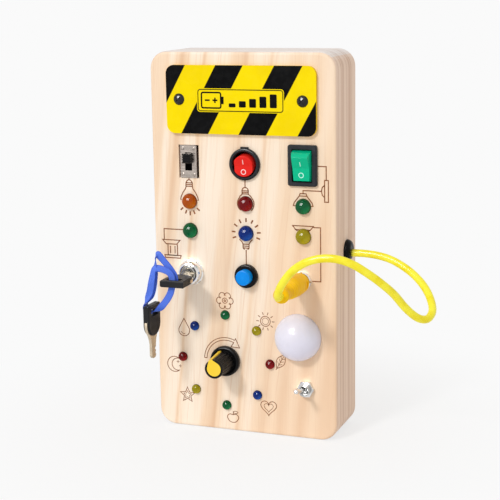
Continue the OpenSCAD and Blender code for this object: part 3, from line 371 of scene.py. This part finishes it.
def metal(name, colour, rough, brushed=(1, 1, 1), dark=0.75):
    """Plated or turned metal: streaks along one way, faint stains."""
    m = Mat(name, Metallic=1.0)
    streak = m.noise(900, 3, 0.6, vector=m.scaled(*brushed))
    stain = m.noise(160, 4, 0.6)
    low = tuple(c * dark for c in colour[:3]) + (1,)
    m.colour(m.mix(m.range(stain, 0.35, 0.75), colour, low))
    m.rough(m.range(streak, 0.3, 0.7, rough - 0.06, rough + 0.1))
    return m.bump(streak, 0.006 * MM)


# The wood -------------------------------------------------------------------------------------

# tone of the front's growth bands at BAND_Z: place in mm, and 0 for pale to 1 for deep
BANDS = [(-50, 0.5), (-47, 0.1), (-43.5, 0.45), (-41, 0.8), (-38, 0.5), (-35, 0.1), (-30, 0.12),
         (-28.2, 0.75), (-26.3, 0.3), (-22, 0.05), (-16, 0.15), (-12.5, 0.6), (-9.5, 0.7), (-6.2, 0.95),
         (-4.3, 0.5), (0, 0.15), (5.5, 0.2), (7.8, 0.65), (9.8, 0.3), (14, 0.15), (18.5, 0.45),
         (22, 0.62), (27, 0.45), (32, 0.7), (38, 0.5), (43, 0.72), (49, 0.5), (58, 0.7)]
BAND_SPAN = 110                   # the width that the bands' ramp covers, in mm
BAND_Z, BAND_LEAN = 0.115, -0.115    # in metres, and metres sideways per metre up


def wood():
    """Pine: late-wood bands and fine lines up the front, growth layers on the sides, end grain on top."""
    m = Mat("pine", Specular_IOR_Level=0.1)
    x, y, z = m.xyz()
    lean = m.math("MULTIPLY", m.math("SUBTRACT", z, BAND_Z), BAND_LEAN)
    wave = m.math("MULTIPLY", m.math("SUBTRACT", m.noise(1, 3, 0.55, vector=m.scaled(28, 28, 11)), 0.5), 0.007)
    u = m.math("MULTIPLY", m.math("ADD", m.math("ADD", x, lean), wave), 1000)
    pale, warm, deep = lin(248, 234, 217), lin(241, 216, 189), lin(225, 189, 156)
    stops = [((at + BAND_SPAN / 2) / BAND_SPAN, v) for at, v in BANDS]
    tone = m.ramp(m.math("MULTIPLY_ADD", u, 1 / BAND_SPAN, 0.5), stops, "EASE")
    tone = m.math("MULTIPLY", tone, m.range(m.noise(1, 2, vector=m.scaled(22, 22, 9)), 0.3, 0.7, 0.7, 1.2))
    front = m.ramp(tone, [(0, pale), (0.5, warm), (1, deep)])
    fine = m.noise(1, 4, 0.65, vector=m.scaled(1300, 1300, 16))
    line = m.noise(1, 3, 0.6, vector=m.join(m.math("MULTIPLY", u, 0.8), 0.0, m.math("MULTIPLY", z, 8)))
    front = m.mix(m.range(line, 0.52, 0.76, 0, 0.5), front, deep)
    front = m.mix(m.range(fine, 0.48, 0.8, 0, 0.3), front, lin(214, 172, 136))
    bend = m.math("MULTIPLY", m.math("SUBTRACT", m.noise(12, 1, vector=m.scaled(1, 1, 0.25)), 0.5), 0.005)
    layer = m.math("MULTIPLY", m.math("ADD", y, bend), 1000)
    ring = m.noise(1, 3, 0.6, vector=m.join(m.math("MULTIPLY", layer, 0.42), 0.0, m.math("MULTIPLY", z, 3)))
    side = m.ramp(ring, [(0.3, lin(243, 220, 200)), (0.46, lin(234, 208, 188)), (0.56, lin(220, 190, 168)),
                         (0.64, lin(208, 174, 150)), (0.75, lin(228, 202, 182))])
    side = m.mix(m.range(fine, 0.45, 0.8, 0, 0.35), side, lin(206, 174, 150))
    ends = m.ramp(ring, [(0.3, lin(240, 234, 230)), (0.5, lin(233, 226, 222)), (0.62, lin(216, 202, 194)),
                         (0.75, lin(232, 222, 216))])
    ends = m.mix(m.range(m.noise(900, 2), 0.4, 0.75, 0, 0.35), ends, lin(214, 200, 190))
    _, ny, nz = m.xyz(m.normal)
    up = m.range(m.math("ABSOLUTE", nz), 0.55, 0.85)
    out = m.range(m.math("ABSOLUTE", ny), 0.45, 0.8)
    m.colour(m.mix(out, m.mix(up, side, ends), front))
    m.rough(m.range(fine, 0.2, 0.8, 0.42, 0.58))
    grain = m.math("MULTIPLY_ADD", m.noise(1500, 2), 0.5, m.math("MULTIPLY", fine, 0.6))
    return m.bump(grain, 0.05 * MM, 0.6)


def plywood():
    """Rotary-cut veneer, with its plies showing at the edges."""
    m = Mat("plywood", Roughness=0.6, Specular_IOR_Level=0.25)
    y = m.xyz()[1]
    flow = m.noise(1, 3, 0.5, vector=m.scaled(26, 26, 5), distort=0.4)
    figure = m.math("FRACT", m.math("MULTIPLY", flow, 7))
    fine = m.noise(1, 4, 0.6, vector=m.scaled(1100, 1100, 22))
    c = m.ramp(figure, [(0, lin(236, 212, 176)), (0.55, lin(228, 198, 158)), (0.8, lin(208, 172, 130)),
                        (1, lin(234, 208, 172))])
    c = m.mix(m.range(fine, 0.45, 0.75, 0, 0.4), c, lin(196, 158, 118))
    ply = m.math("GREATER_THAN", m.math("FRACT", m.math("MULTIPLY", y, 1000)), 0.5)
    edge = m.range(m.math("ABSOLUTE", m.xyz(m.normal)[1]), 0.6, 0.4)
    m.colour(m.mix(m.math("MULTIPLY", edge, ply), c, lin(160, 116, 78)))
    return m.bump(fine, 0.04 * MM)


def burnt():
    m = Mat("burnt_line", Roughness=0.75, Specular_IOR_Level=0.15)
    spot = m.noise(1500, 3)
    return m.colour(m.mix(m.range(spot, 0.35, 0.7), lin(112, 62, 26), lin(160, 98, 54)))


# The striped plate ---------------------------------------------------------------------------------

YELLOW, BLACK = lin(246, 220, 0), lin(4, 4, 5)
STRIPES, DARK = 31.4, 14.8        # one yellow and one black stripe, and the black one alone, along X in mm
STRIPE_AT, STRIPE_Z = 13.1, 0.1927    # where a black stripe starts, in mm, at this height in metres
STRIPE_LEAN = -0.56
SOFT = 0.004                      # half the width of a stripe's edge, as a part of STRIPES


def hazard():
    """The striped plate: slanting stripes on its front, and edges in a darker yellow, which is painted shade."""
    m = Mat("hazard_plate", Specular_IOR_Level=0.06)
    x, _, z = m.xyz()
    s = m.math("ADD", x, m.math("MULTIPLY", m.math("SUBTRACT", z, STRIPE_Z), STRIPE_LEAN))
    t = m.math("FRACT", m.math("MULTIPLY_ADD", s, 1 / (STRIPES * MM), STRIPE_AT / STRIPES + 4))
    black = m.math("MULTIPLY", m.range(t, -SOFT, SOFT),
                   m.range(t, DARK / STRIPES + SOFT, DARK / STRIPES - SOFT))
    wrap = m.range(t, 1 - SOFT, 1.0)
    face = m.range(m.math("MULTIPLY", m.xyz(m.normal)[1], -1), 0.6, 0.8)
    fac = m.math("MULTIPLY", m.math("MAXIMUM", black, wrap), face)
    cloud = m.noise(60, 3)
    yellow = m.mix(m.range(cloud, 0.35, 0.7), YELLOW, lin(240, 212, 0))
    # painted shade: faces that turn away from the front take a darker yellow
    yellow = m.mix(m.math("SUBTRACT", 1.0, face), yellow, lin(232, 196, 12))
    m.colour(m.mix(fac, yellow, m.mix(m.range(cloud, 0.4, 0.7), BLACK, lin(10, 10, 11))))
    m.rough(m.range(m.noise(300, 3), 0.3, 0.7, 0.2, 0.32))
    return m.bump(m.noise(900, 2), 0.01 * MM)


# Lamps, plastics and ribbon --------------------------------------------------------------------------


def lens(name, dark, bright):
    """A clear coloured lamp, with painted shade that deepens its rim and a painted glow that lightens it low in
    the dome, where light gathers.
    """
    m = Mat(name, Roughness=0.3, Coat_Weight=0.35, Coat_Roughness=0.03, Specular_IOR_Level=0)
    nx, ny, nz = m.xyz(m.normal)
    # painted glow: the front of the dome turns lighter towards its lower right
    low = m.math("SUBTRACT", m.math("MULTIPLY", nx, 0.55), m.math("MULTIPLY", nz, 0.7))
    glow = m.math("MULTIPLY", m.range(low, 0.05, 0.8), m.range(ny, 0.1, -0.45))
    c = m.mix(m.math("MULTIPLY", glow, 0.9), dark, bright)
    # painted shade: the rim darkens where the normal turns sideways
    painted_rim_shade = tuple(v * 0.35 for v in dark[:3]) + (1,)
    c = m.mix(m.range(ny, -0.42, -0.05, 0, 0.75), c, painted_rim_shade)
    return m.colour(m.mix(m.range(m.noise(700, 2), 0.4, 0.7, 0, 0.12), c, bright))


def milky():
    m = Mat("milky_dome", Coat_Weight=0.2, Coat_Roughness=0.06, Specular_IOR_Level=0.1, Subsurface_Weight=0.5,
            Subsurface_Scale=0.006)
    m.b.inputs["Subsurface Radius"].default_value = (1, 1, 1)
    nx, _, nz = m.xyz(m.normal)
    # painted light and shade: the dome is lighter where its normals face up and to the left, and darker below
    painted_light = m.range(m.math("ADD", m.math("MULTIPLY", nz, 0.8), m.math("MULTIPLY", nx, -0.3)), -0.8, 0.7)
    c = m.mix(painted_light, lin(222, 221, 244), lin(230, 229, 246))
    m.colour(m.mix(m.range(m.noise(200, 3), 0.35, 0.7, 0, 0.3), c, lin(222, 222, 244)))
    m.rough(m.range(m.noise(150, 2), 0.3, 0.7, 0.2, 0.3))
    return m.bump(m.noise(2500, 2), 0.008 * MM)


def cable():
    m = Mat("clear_yellow_cable", Coat_Weight=0.15, Coat_Roughness=0.1, Specular_IOR_Level=0.1)
    core = m.mix(m.range(m.noise(180, 3), 0.4, 0.7), lin(250, 240, 60), lin(240, 222, 24))
    m.colour(m.mix(m.math("MULTIPLY", m.edges(), 0.4), core, lin(255, 250, 120)))
    m.rough(m.range(m.noise(300, 2), 0.3, 0.7, 0.22, 0.34))
    return m.bump(m.noise(1400, 2), 0.02 * MM)


def amber():
    m = Mat("amber_plug", Coat_Weight=0.08, Coat_Roughness=0.12, Specular_IOR_Level=0.1)
    base = m.mix(m.range(m.noise(120, 3), 0.35, 0.7), lin(246, 196, 0), lin(236, 178, 0))
    m.colour(m.mix(m.math("MULTIPLY", m.edges(), 0.5), base, lin(255, 220, 50)))
    m.rough(m.range(m.noise(300, 2), 0.3, 0.7, 0.3, 0.42))
    return m.bump(m.noise(1800, 2), 0.02 * MM)


def satin():
    """A narrow woven ribbon: ribs across it, a darker band along each edge that is painted shade, and a sheen."""
    m = Mat("blue_ribbon", Roughness=0.55, Sheen_Weight=0.2, Sheen_Roughness=0.35, Specular_IOR_Level=0.2)
    m.b.inputs["Sheen Tint"].default_value = lin(190, 210, 255)
    a, b, _ = m.xyz(m.uv)
    rib = m.math("SINE", m.math("MULTIPLY", a, math.tau / 0.34))
    weft = m.math("SINE", m.math("MULTIPLY", b, math.tau / 0.3))
    weave = m.math("MULTIPLY", rib, weft)
    # painted shade: the outer part of each edge is darker
    edge = m.range(m.math("ABSOLUTE", b), 1.35, 1.6)
    c = m.mix(m.range(weave, -1, 1), lin(52, 92, 214), lin(92, 136, 246))
    c = m.mix(m.range(m.noise(120, 3), 0.35, 0.7, 0, 0.4), c, lin(70, 112, 226))
    m.colour(m.mix(m.math("MULTIPLY", edge, 0.6), c, lin(44, 80, 198)))
    return m.bump(weave, 0.05 * MM, 0.7)


def near_black(name, level, rough, spec=0.08):
    """Near-black plastic or rubber: level is its grey, 0 to 255."""
    worn = level + 22
    return moulded(name, lin(level, level, level + 1), lin(worn, worn, worn + 2), rough=rough, spec=spec)


def wrapped_cell():
    """A battery's printed sleeve, in two colours."""
    m = Mat("cell_wrap", Metallic=0.4, Coat_Weight=0.4)
    m.colour(m.mix(m.math("GREATER_THAN", m.xyz()[0], 0.009), lin(34, 110, 66), lin(205, 170, 60)))
    return m.rough(m.range(m.noise(400, 2), 0.3, 0.7, 0.25, 0.4))


MATERIALS = {
    "wood": wood(),
    "plywood": plywood(),
    "screw_steel": metal("zinc_screw", lin(210, 208, 200), 0.3),
    "hazard": hazard(),
    "black_screw": moulded("black_screw", lin(14, 13, 13), lin(50, 48, 46), rough=0.22, spec=0.35),
    "tray_plastic": near_black("tray", 22, 0.5),
    "cell": wrapped_cell(),
    "contact": metal("nickel_contact", lin(214, 212, 205), 0.25),
    "slide_steel": metal("satin_nickel", lin(168, 158, 150), 0.26, (0.2, 1, 3), 0.8),
    "phenolic": moulded("brown_laminate", lin(120, 76, 44), rough=0.5),
    "black_gloss": near_black("gloss_black", 7, 0.22, 0.12),
    "bezel": moulded("dark_bezel", lin(22, 25, 29), lin(48, 52, 58), rough=0.3, spec=0.15),
    "rocker_red": moulded("red_rocker", lin(220, 28, 26), lin(234, 48, 36), rough=0.25, coat=0.05),
    "rocker_green": moulded("green_rocker", lin(0, 172, 128), lin(12, 196, 150), rough=0.22, coat=0.05),
    "terminal": metal("tinned", lin(206, 202, 186), 0.3),
    "lens_amber": lens("amber_lens", lin(160, 68, 0), lin(200, 106, 10)),
    "lens_green": lens("green_lens", lin(0, 80, 42), lin(8, 126, 74)),
    "lens_lime": lens("lime_lens", lin(144, 132, 6), lin(184, 170, 34)),
    "lens_red": lens("red_lens", lin(104, 2, 6), lin(150, 8, 14)),
    "lens_blue": lens("blue_lens", lin(0, 34, 110), lin(14, 80, 178)),
    "lead": metal("tinned_lead", lin(212, 210, 205), 0.3),
    "dome": milky(),
    "lamp_board": moulded("white_board", lin(236, 236, 232), rough=0.4),
    "lock_chrome": metal("polished_chrome", lin(240, 238, 236), 0.1),
    "core_steel": metal("turned_core", lin(176, 176, 172), 0.22),
    "nut_steel": metal("nickel_nut", lin(200, 198, 192), 0.28),
    "key_plastic": near_black("key_plastic", 17, 0.38, 0.15),
    "key_steel": metal("key_steel", lin(206, 190, 166), 0.3, (1, 1, 0.2)),
    "ribbon": satin(),
    "cap_blue": moulded("blue_cap", lin(0, 132, 232), lin(20, 152, 244), rough=0.28, coat=0.05),
    "spring_steel": metal("spring_wire", lin(200, 200, 200), 0.25),
    "switch_grey": near_black("switch_case", 40, 0.45),
    "shaft": metal("turned_shaft", lin(205, 205, 202), 0.25),
    "knob": near_black("knob", 8, 0.3, 0.12),
    "pointer": moulded("yellow_pointer", lin(240, 196, 30), lin(252, 216, 80), rough=0.4),
    "toggle_case": metal("toggle_case", lin(196, 196, 194), 0.3),
    "chrome": metal("chrome", lin(226, 226, 226), 0.13),
    "socket_plastic": near_black("socket_plastic", 22, 0.45),
    "plug_amber": amber(),
    "cord": cable(),
    "grommet": near_black("grommet_rubber", 7, 0.3),
}

for part in frame["record"]["subparts"]:
    ob = nodes[part["node"]]
    ob.data.materials.clear()
    ob.data.materials.append(MATERIALS[part["material_slot"]].m)
for ob, slot in ((cord_cable, "cord"), (ribbon_loop, "ribbon"), (spring_coil, "spring_steel")):
    ob.data.materials.append(MATERIALS[slot].m)

# Line drawings: flat strips a hair proud of what they are drawn on ---------------------------------

LINE, THIN, FINE, RAY = 0.55, 0.4, 0.28, 0.8    # widths of lines, in mm


class Drawing:
    """Strokes in a plane, in mm. Each becomes a flat strip with mitred corners."""

    def __init__(self):
        self.verts, self.faces = [], []

    def stroke(self, pts, width=LINE, closed=False):
        pts = [Vector(p) for p in pts]
        n = len(pts)
        base = len(self.verts)
        for i, p in enumerate(pts):
            a = pts[i - 1] if (i or closed) else p
            b = pts[(i + 1) % n] if (i < n - 1 or closed) else p
            d1, d2 = (p - a), (b - p)
            d1 = d1.normalized() if d1.length else d2.normalized()
            d2 = d2.normalized() if d2.length else d1
            n1, n2 = Vector((-d1.y, d1.x)), Vector((-d2.y, d2.x))
            m = n1 + n2
            m = m.normalized() if m.length > 1e-6 else n1
            k = width / 2 / max(0.45, m.dot(n1))
            self.verts += [p + m * k, p - m * k]
        for i in range(n if closed else n - 1):
            j = (i + 1) % n
            self.faces.append((base + 2 * i, base + 2 * i + 1, base + 2 * j + 1, base + 2 * j))

    def fill(self, pts):
        base = len(self.verts)
        self.verts += [Vector(p) for p in pts]
        self.faces.append(tuple(range(base, base + len(pts))))

    def build(self, name, place, material, body, slot):
        """place turns the drawing's (a, b) into a point in the row frame, in mm."""
        ob = mesh_object(name, [place(v.x, v.y) for v in self.verts], self.faces)
        want = Vector(place(0, 0, 1)) - Vector(place(0, 0, 0))
        for p in ob.data.polygons:
            if p.normal.dot(want) < 0:
                p.flip()
        ob.data.materials.append(material)
        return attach(ob, body)


def polar(cx, cy, r, degrees, ry=None):
    a = math.radians(degrees)
    return (cx + r * math.cos(a), cy + (ry or r) * math.sin(a))


def arc(cx, cy, r, a0, a1, n, ry=None):
    return [polar(cx, cy, r, a0 + (a1 - a0) * i / n, ry) for i in range(n + 1)]


def circle(cx, cy, r, n=20):
    return arc(cx, cy, r, 0, 360 - 360 / n, n - 1)


def on_wood(a, b, h=0.0):
    return (a, FACE - LIFT - h, b)


art = Drawing()
S = art.stroke


def bulb_down(cx, top, lamp_z, flare, neck):
    """A hanging bulb's outline: wire, cap, neck and shoulders round the lamp below."""
    cap = top - 2.6
    S([(cx, top), (cx, cap + 1.5)])
    S(arc(cx, cap - 0.2, 1.6, 0, 180, 10))
    S([(cx - 1.8, cap - 0.2), (cx + 1.8, cap - 0.2), (cx + 1.8, cap - 2), (cx - 1.8, cap - 2)], closed=True)
    S([(cx - 1.7, cap - 1.1), (cx + 1.7, cap - 1.1)])
    for s in (-1, 1):
        S([(cx + s * 1.7, cap - 2), (cx + s * 2.1, cap - 3.3), (cx + s * (flare - 1.2), cap - 5.2),
           (cx + s * flare, lamp_z + 2.2), (cx + s * (flare + 0.25), lamp_z + 0.8), (cx + s * neck, lamp_z + 0.4)])


# left column: slide switch, a shining bulb, a desk lamp
bulb_down(-29.6, 135.3, 122.9, 4.7, 4.5)
for a in (-138, -112, -68, -42):
    S([polar(-29.4, 122.9, r, a) for r in (5.2, 7.2)], RAY)
S([(-29.4, 117.6), (-29.4, 115.4)], RAY)
S([(-33.6, 107.6), (-44.6, 107.6), (-44.6, 101.8)])
S([(-45.6, 101.8), (-35.6, 101.8), (-37.6, 99.6), (-43.6, 99.6)], closed=True)
S([(-42.6, 99.6), (-42.6, 93.6), (-37.2, 93.6), (-37.2, 99.6)])
S([(-41.2, 98.6), (-41.2, 94.6)])
S([(-38.6, 98.6), (-38.6, 94.6)])
S([(-44.6, 93.6), (-35.2, 93.6), (-35.6, 92.2), (-44.2, 92.2)], closed=True)
# middle column: a bulb under its wire, and a shining one on a stem to the push button
S([(1.4, 135.2), (1.4, 131.4)])
S(arc(1.4, 129.6, 1.7, 0, 180, 10))
S([(-0.3, 129.6), (3.1, 129.6), (3.1, 128), (-0.3, 128)], closed=True)
S([(-0.2, 128.8), (3, 128.8)])
for s in (-1, 1):
    S([(1.5 + s * 1.5, 128), (1.5 + s * 3.1, 126.6)]
      + [polar(1.6, 122.9, 4.55, 90 - s * a) for a in range(45, 150, 12)])
for a in (-20, 5, 35, 62, 90, 118, 145, 175, 200):
    S([polar(1.6, 107.5, r, a) for r in (5.9, 8)], RAY)
for s in (-1, 1):
    S([(1.4 + s * dx, z) for dx, z in ((3.6, 104.4), (2.4, 103.2), (1.7, 102), (1.6, 99.7), (0.8, 99))])
for z in (101.8, 100.8, 99.8):
    S([(-0.2, z), (3, z)])
S([(1.4, 98.9), (1.4, 91.3)])
# right column: a wall lamp, and a lamp on an arm down to the socket
S([(40.4, 143.5), (44.7, 143.5), (44.7, 136.6)])
S([(43.8, 136.6), (45.8, 136.6), (45.8, 125.6), (43.8, 125.6)], closed=True)
S([(43.8, 134), (42.6, 133), (42.2, 131), (42.6, 129), (43.8, 128)])
S([(42.2, 131), (32.5, 131), (32.5, 129.4)])
S([(30.9, 129.4), (34.1, 129.4), (34.5, 128.2), (30.5, 128.2)], closed=True)
for s in (-1, 1):
    S([(32.5 + s * 2, 128.2), (32.5 + s * 4.7, 124.8), (32.5 + s * 5.2, 123.2), (32.5 + s * 4.3, 123)])
S([(26.8, 112.9), (37.8, 112.9), (36.2, 110.9), (28.4, 110.9)], closed=True)
S([(37.8, 112.4), (41.6, 112.4), (41.6, 84.6), (37, 84.6)])
S([(28.6, 110.9), (29.3, 110.2)])
S([(36, 110.9), (35.3, 110.2)])
# the turning arrow over the dial
outer = arc(-10.9, 38.7, 12.3, 178, 66, 20)
inner = arc(-10.9, 38.7, 10.9, 66, 178, 20)
head = [(-5.4, 50.9), (-3.2, 46), (-8, 46.3)]
S([outer[-1]] + head + inner + outer, THIN)

# one small drawing beside each lamp of the ring


def star(cx, cy, r):
    for size, width in ((1, THIN), (0.55, FINE)):
        reach = [size * (0.46 * r if k % 2 else r) for k in range(10)]
        S([(cx + q * math.sin(math.pi * k / 5), cy + q * math.cos(math.pi * k / 5))
           for k, q in enumerate(reach)], width, True)


def heart(cx, cy, r):
    def pts(k):
        out = []
        for i in range(28):
            t = math.tau * i / 28
            up = 13 * math.cos(t) - 5 * math.cos(2 * t) - 2 * math.cos(3 * t) - math.cos(4 * t)
            out.append((cx + k * 16 * math.sin(t) ** 3, cy + k * up + 0.1 * r))
        return out
    S(pts(r / 17), THIN, True)
    S(pts(r / 29), FINE, True)


def flower(cx, cy, r):
    for k in range(6):
        a = math.tau * k / 6
        px, py = cx + 0.62 * r * math.cos(a), cy + 0.62 * r * math.sin(a)
        S(arc(px, py, 0.38 * r, math.degrees(a) - 115, math.degrees(a) + 115, 12), THIN)
    S(circle(cx, cy, 0.3 * r), 0.35, True)
    S(circle(cx, cy, 0.1 * r, 8), THIN, True)


def sun(cx, cy, r):
    S(circle(cx, cy, 0.55 * r), THIN, True)
    S(circle(cx, cy, 0.36 * r), 0.26, True)
    for k in range(10):
        a = math.tau * k / 10
        S([(cx + q * r * math.cos(a), cy + q * r * math.sin(a)) for q in (0.72, 1.02)], 0.42)


def moon(cx, cy, r):
    inside = arc(cx + 0.42 * r, cy, 0.8 * r, 74, 286, 22)
    S(arc(cx, cy, r, 50, 310, 26) + inside[::-1], THIN, True)
    for dx, dy in ((0.45, 0.35), (0.75, -0.2)):
        x, y = cx + dx * r, cy + dy * r
        S([(x, y + 0.2 * r), (x, y - 0.2 * r)], 0.3)
        S([(x - 0.2 * r, y), (x + 0.2 * r, y)], 0.3)


def leaf(cx, cy, r, turn):
    c, s = math.cos(math.radians(turn)), math.sin(math.radians(turn))

    def put(a, b):
        return (cx + a * c - b * s, cy + a * s + b * c)
    up, low = ([put(r * (2 * i / 14 - 1), side * 0.52 * r * math.sin(math.pi * i / 14))
                for i in range(15)] for side in (1, -1))
    S(up + low[-2:0:-1], THIN, True)
    S([put(-1.25 * r, 0), put(0.8 * r, 0)], 0.35)
    for q in (-0.5, -0.1, 0.3):
        for side in (1, -1):
            S([put(q * r, 0), put((q + 0.3) * r, side * 0.34 * r)], FINE)


def drop(cx, cy, r):
    S([(cx, cy + 1.1 * r)] + arc(cx, cy - 0.3 * r, 0.68 * r, 35, -215, 22), THIN, True)
    S(arc(cx, cy - 0.3 * r, 0.42 * r, 200, 285, 8), 0.32)


def apple(cx, cy, r):
    S([(cx + 0.02 * r, cy + 0.42 * r)] + arc(cx + 0.4 * r, cy + 0.02 * r, 0.48 * r, 95, -30, 12)
      + arc(cx, cy - 0.15 * r, 0.78 * r, -35, -145, 12, 0.62 * r)
      + arc(cx - 0.4 * r, cy + 0.02 * r, 0.48 * r, 210, 85, 12), THIN, True)
    S([(cx, cy + 0.42 * r), (cx + 0.08 * r, cy + 0.72 * r), (cx + 0.02 * r, cy + 0.95 * r)], 0.42)
    S(arc(cx + 0.42 * r, cy + 0.8 * r, 0.36 * r, 0, 340, 14, 0.17 * r), 0.32, True)


flower(-11, 71, 4.7)
sun(11.4, 61.6, 4.9)
leaf(19.6, 40.6, 4.4, 60)
heart(12.6, 14.6, 4.7)
apple(-7.6, 7.4, 3.6)
star(-33.6, 17.4, 4.3)
moon(-40.6, 34, 4.2)
drop(-34.6, 54.6, 4.6)
art.build("drawn_lines", on_wood, burnt().m, "board", "wood")

# The sign on the striped plate -------------------------------------------------------------------------


def on_plate(level):
    """Places a drawing on the plate. Each level lies one LIFT above the last."""
    return lambda a, b, h=0.0: (a, PLATE - LIFT - level * LIFT - h, b)


def rounded(x0, z0, x1, z1, r, n=5):
    """A rectangle's outline, with corners of radius r."""
    out = []
    for cx, cz, a in ((x1 - r, z1 - r, 0), (x0 + r, z1 - r, 90), (x0 + r, z0 + r, 180), (x1 - r, z0 + r, 270)):
        out += arc(cx, cz, r, a, a + 90, n)
    return out


def print_ink(name, colour):
    m = Mat(name, Specular_IOR_Level=0.06)
    faded = tuple(c * 0.93 + 0.004 for c in colour[:3]) + (1,)
    m.colour(m.mix(m.range(m.noise(90, 3), 0.35, 0.7, 0, 0.5), colour, faded))
    m.rough(m.range(m.noise(300, 2), 0.3, 0.7, 0.2, 0.32))
    return m.m


yellow_ink, black_ink = print_ink("yellow_ink", YELLOW), print_ink("black_ink", BLACK)
sign = Drawing()
sign.fill(rounded(-23.2, 169.6, 23.6, 181.6, 1.6))
sign.build("sign_ground", on_plate(0), yellow_ink, "board", "hazard")
ink = Drawing()
ink.stroke(rounded(-22.6, 170.2, 23, 181, 1.3), 0.45, True)
# a battery with its terminal, a minus and a plus
ink.stroke(rounded(-20.7, 171.7, -10.2, 179.5, 0.9), 0.8, True)
ink.fill([(-9.8, 173.7), (-8.6, 173.7), (-8.6, 177.5), (-9.8, 177.5)])
ink.stroke([(-18.9, 175.6), (-16.2, 175.6)], 0.8)
ink.stroke([(-14.7, 175.6), (-12, 175.6)], 0.8)
ink.stroke([(-13.35, 174.25), (-13.35, 176.95)], 0.8)
# a charge gauge of five bars
for i in range(5):
    ink.fill(rounded(-5.9 + 5.5 * i, 172.2, -2.2 + 5.5 * i, 174.2 + 1.2 * i, 0.5, 3))
ink.build("sign_ink", on_plate(1), black_ink, "board", "hazard")

# White marks on the rockers -------------------------------------------------------------------------------


def rocker_place(cx, cz, pivot, tilt, face, valley):
    """Places a drawing on a rocker's face: (a, b) are across it and up from its middle, in mm."""
    t, g = math.radians(tilt), math.radians(valley)

    def place(a, b, h=0.0):
        out = face + abs(b) * math.tan(g) + (0.04 + h) / math.cos(g)
        return (cx + a, FACE - pivot - b * math.sin(t) - out * math.cos(t),
                cz + b * math.cos(t) - out * math.sin(t))
    return place


for name, colour, at, z0, z1, body, slot in (
        ("round_marks", lin(250, 214, 212), (1.6, 143.3, -2, 9, 4.6, 9), 2.3, -2.9,
         "round_rocker", "rocker_red"),
        ("rect_marks", lin(190, 250, 236), (32.6, 143.7, 0, 17, 3.8, 10), 2.6, -3.4,
         "rect_rocker", "rocker_green")):
    d = Drawing()
    d.stroke([(0, z0 - 1.25), (0, z0 + 1.25)], 0.36)
    d.stroke(circle(0, z1, 1.2, 26), 0.42, True)
    d.build(name, rocker_place(*at), moulded(name, colour, rough=0.35).m, body, slot)

# Light and ground ---------------------------------------------------------------------------------------


SUN_FROM = (-0.34, -1.0, 0.84)
SUN_ENERGY, SUN_ANGLE = 1.32, 10    # the angle in degrees
ROOM_COLOUR, ROOM_LEVEL = (1, 0.972, 0.944, 1), 0.7
BOX_SIZE, BOX_ENERGY, BOX_AWAY = 0.6, 32, 0.95    # metres, watts, metres
SEEN = lin(250, 250, 250)         # the background that the camera, gloss and glass see
FLOOR_HALF, FLOOR_Z = 4000, -0.02    # in mm


def seen_directly(tree):
    """1 for the camera's own rays and for those that gloss or glass sends on, and 0 for the rest."""
    path = tree.nodes.new("ShaderNodeLightPath")
    ray = path.outputs["Is Camera Ray"]
    for kind in ("Is Glossy Ray", "Is Transmission Ray"):
        either = tree.nodes.new("ShaderNodeMath")
        either.operation = "MAXIMUM"
        tree.links.new(ray, either.inputs[0])
        tree.links.new(path.outputs[kind], either.inputs[1])
        ray = either.outputs[0]
    return ray


def add_light(name, kind, aim):
    """A light that shines from the direction aim."""
    ob = bpy.data.objects.new(name, bpy.data.lights.new(name, kind))
    bpy.context.scene.collection.objects.link(ob)
    ob.rotation_euler = aim.to_track_quat("Z", "Y").to_euler()
    return ob


def light():
    """A soft white room, one softened sun from the upper left, and a softbox there that only gloss shows."""
    world = bpy.data.worlds.new("studio")
    bpy.context.scene.world = world
    world.use_nodes = True
    t = world.node_tree
    soft = t.nodes["Background"]
    soft.inputs["Color"].default_value = ROOM_COLOUR
    soft.inputs["Strength"].default_value = ROOM_LEVEL
    seen = t.nodes.new("ShaderNodeBackground")
    seen.inputs["Color"].default_value = SEEN
    mix = t.nodes.new("ShaderNodeMixShader")
    t.links.new(seen_directly(t), mix.inputs[0])
    t.links.new(soft.outputs[0], mix.inputs[1])
    t.links.new(seen.outputs[0], mix.inputs[2])
    t.links.new(mix.outputs[0], t.nodes["World Output"].inputs["Surface"])
    aim = Vector(SUN_FROM).normalized()
    sun = add_light("key", "SUN", aim).data
    sun.energy, sun.angle = SUN_ENERGY, math.radians(SUN_ANGLE)
    box = add_light("softbox", "AREA", aim)
    box.data.shape, box.data.size, box.data.energy = "SQUARE", BOX_SIZE, BOX_ENERGY
    box.location = aim * BOX_AWAY + Vector((0, 0, 0.1))
    box.visible_diffuse = box.visible_camera = False


def ground():
    """A pale floor, which glows less near the object, so that its shadow shows there."""
    e = FLOOR_HALF
    corners = [(x, y, FLOOR_Z) for x, y in ((-e, -e), (e, -e), (e, e), (-e, e))]
    ob = mesh_object("floor", corners, [(0, 1, 2, 3)])
    m = Mat("pale_floor", Roughness=0.9, Specular_IOR_Level=0.1)
    m.b.inputs["Base Color"].default_value = lin(244, 244, 244)
    x, y, _ = m.xyz()
    far = m.math("SQRT", m.math("ADD", m.math("POWER", x, 2), m.math("POWER", y, 2)))
    glow = m.n("ShaderNodeEmission")
    glow.inputs["Color"].default_value = SEEN
    mix = m.n("ShaderNodeMixShader")
    m.put(m.math("MULTIPLY", m.range(far, 0.03, 0.2, 0.72, 1.0), seen_directly(m.t)), mix.inputs[0])
    m.t.links.new(m.b.outputs[0], mix.inputs[1])
    m.t.links.new(glow.outputs[0], mix.inputs[2])
    m.t.links.new(mix.outputs[0], m.t.nodes["Material Output"].inputs["Surface"])
    ob.data.materials.append(m.m)


light()
ground()
bpy.context.scene.view_settings.view_transform = "Standard"
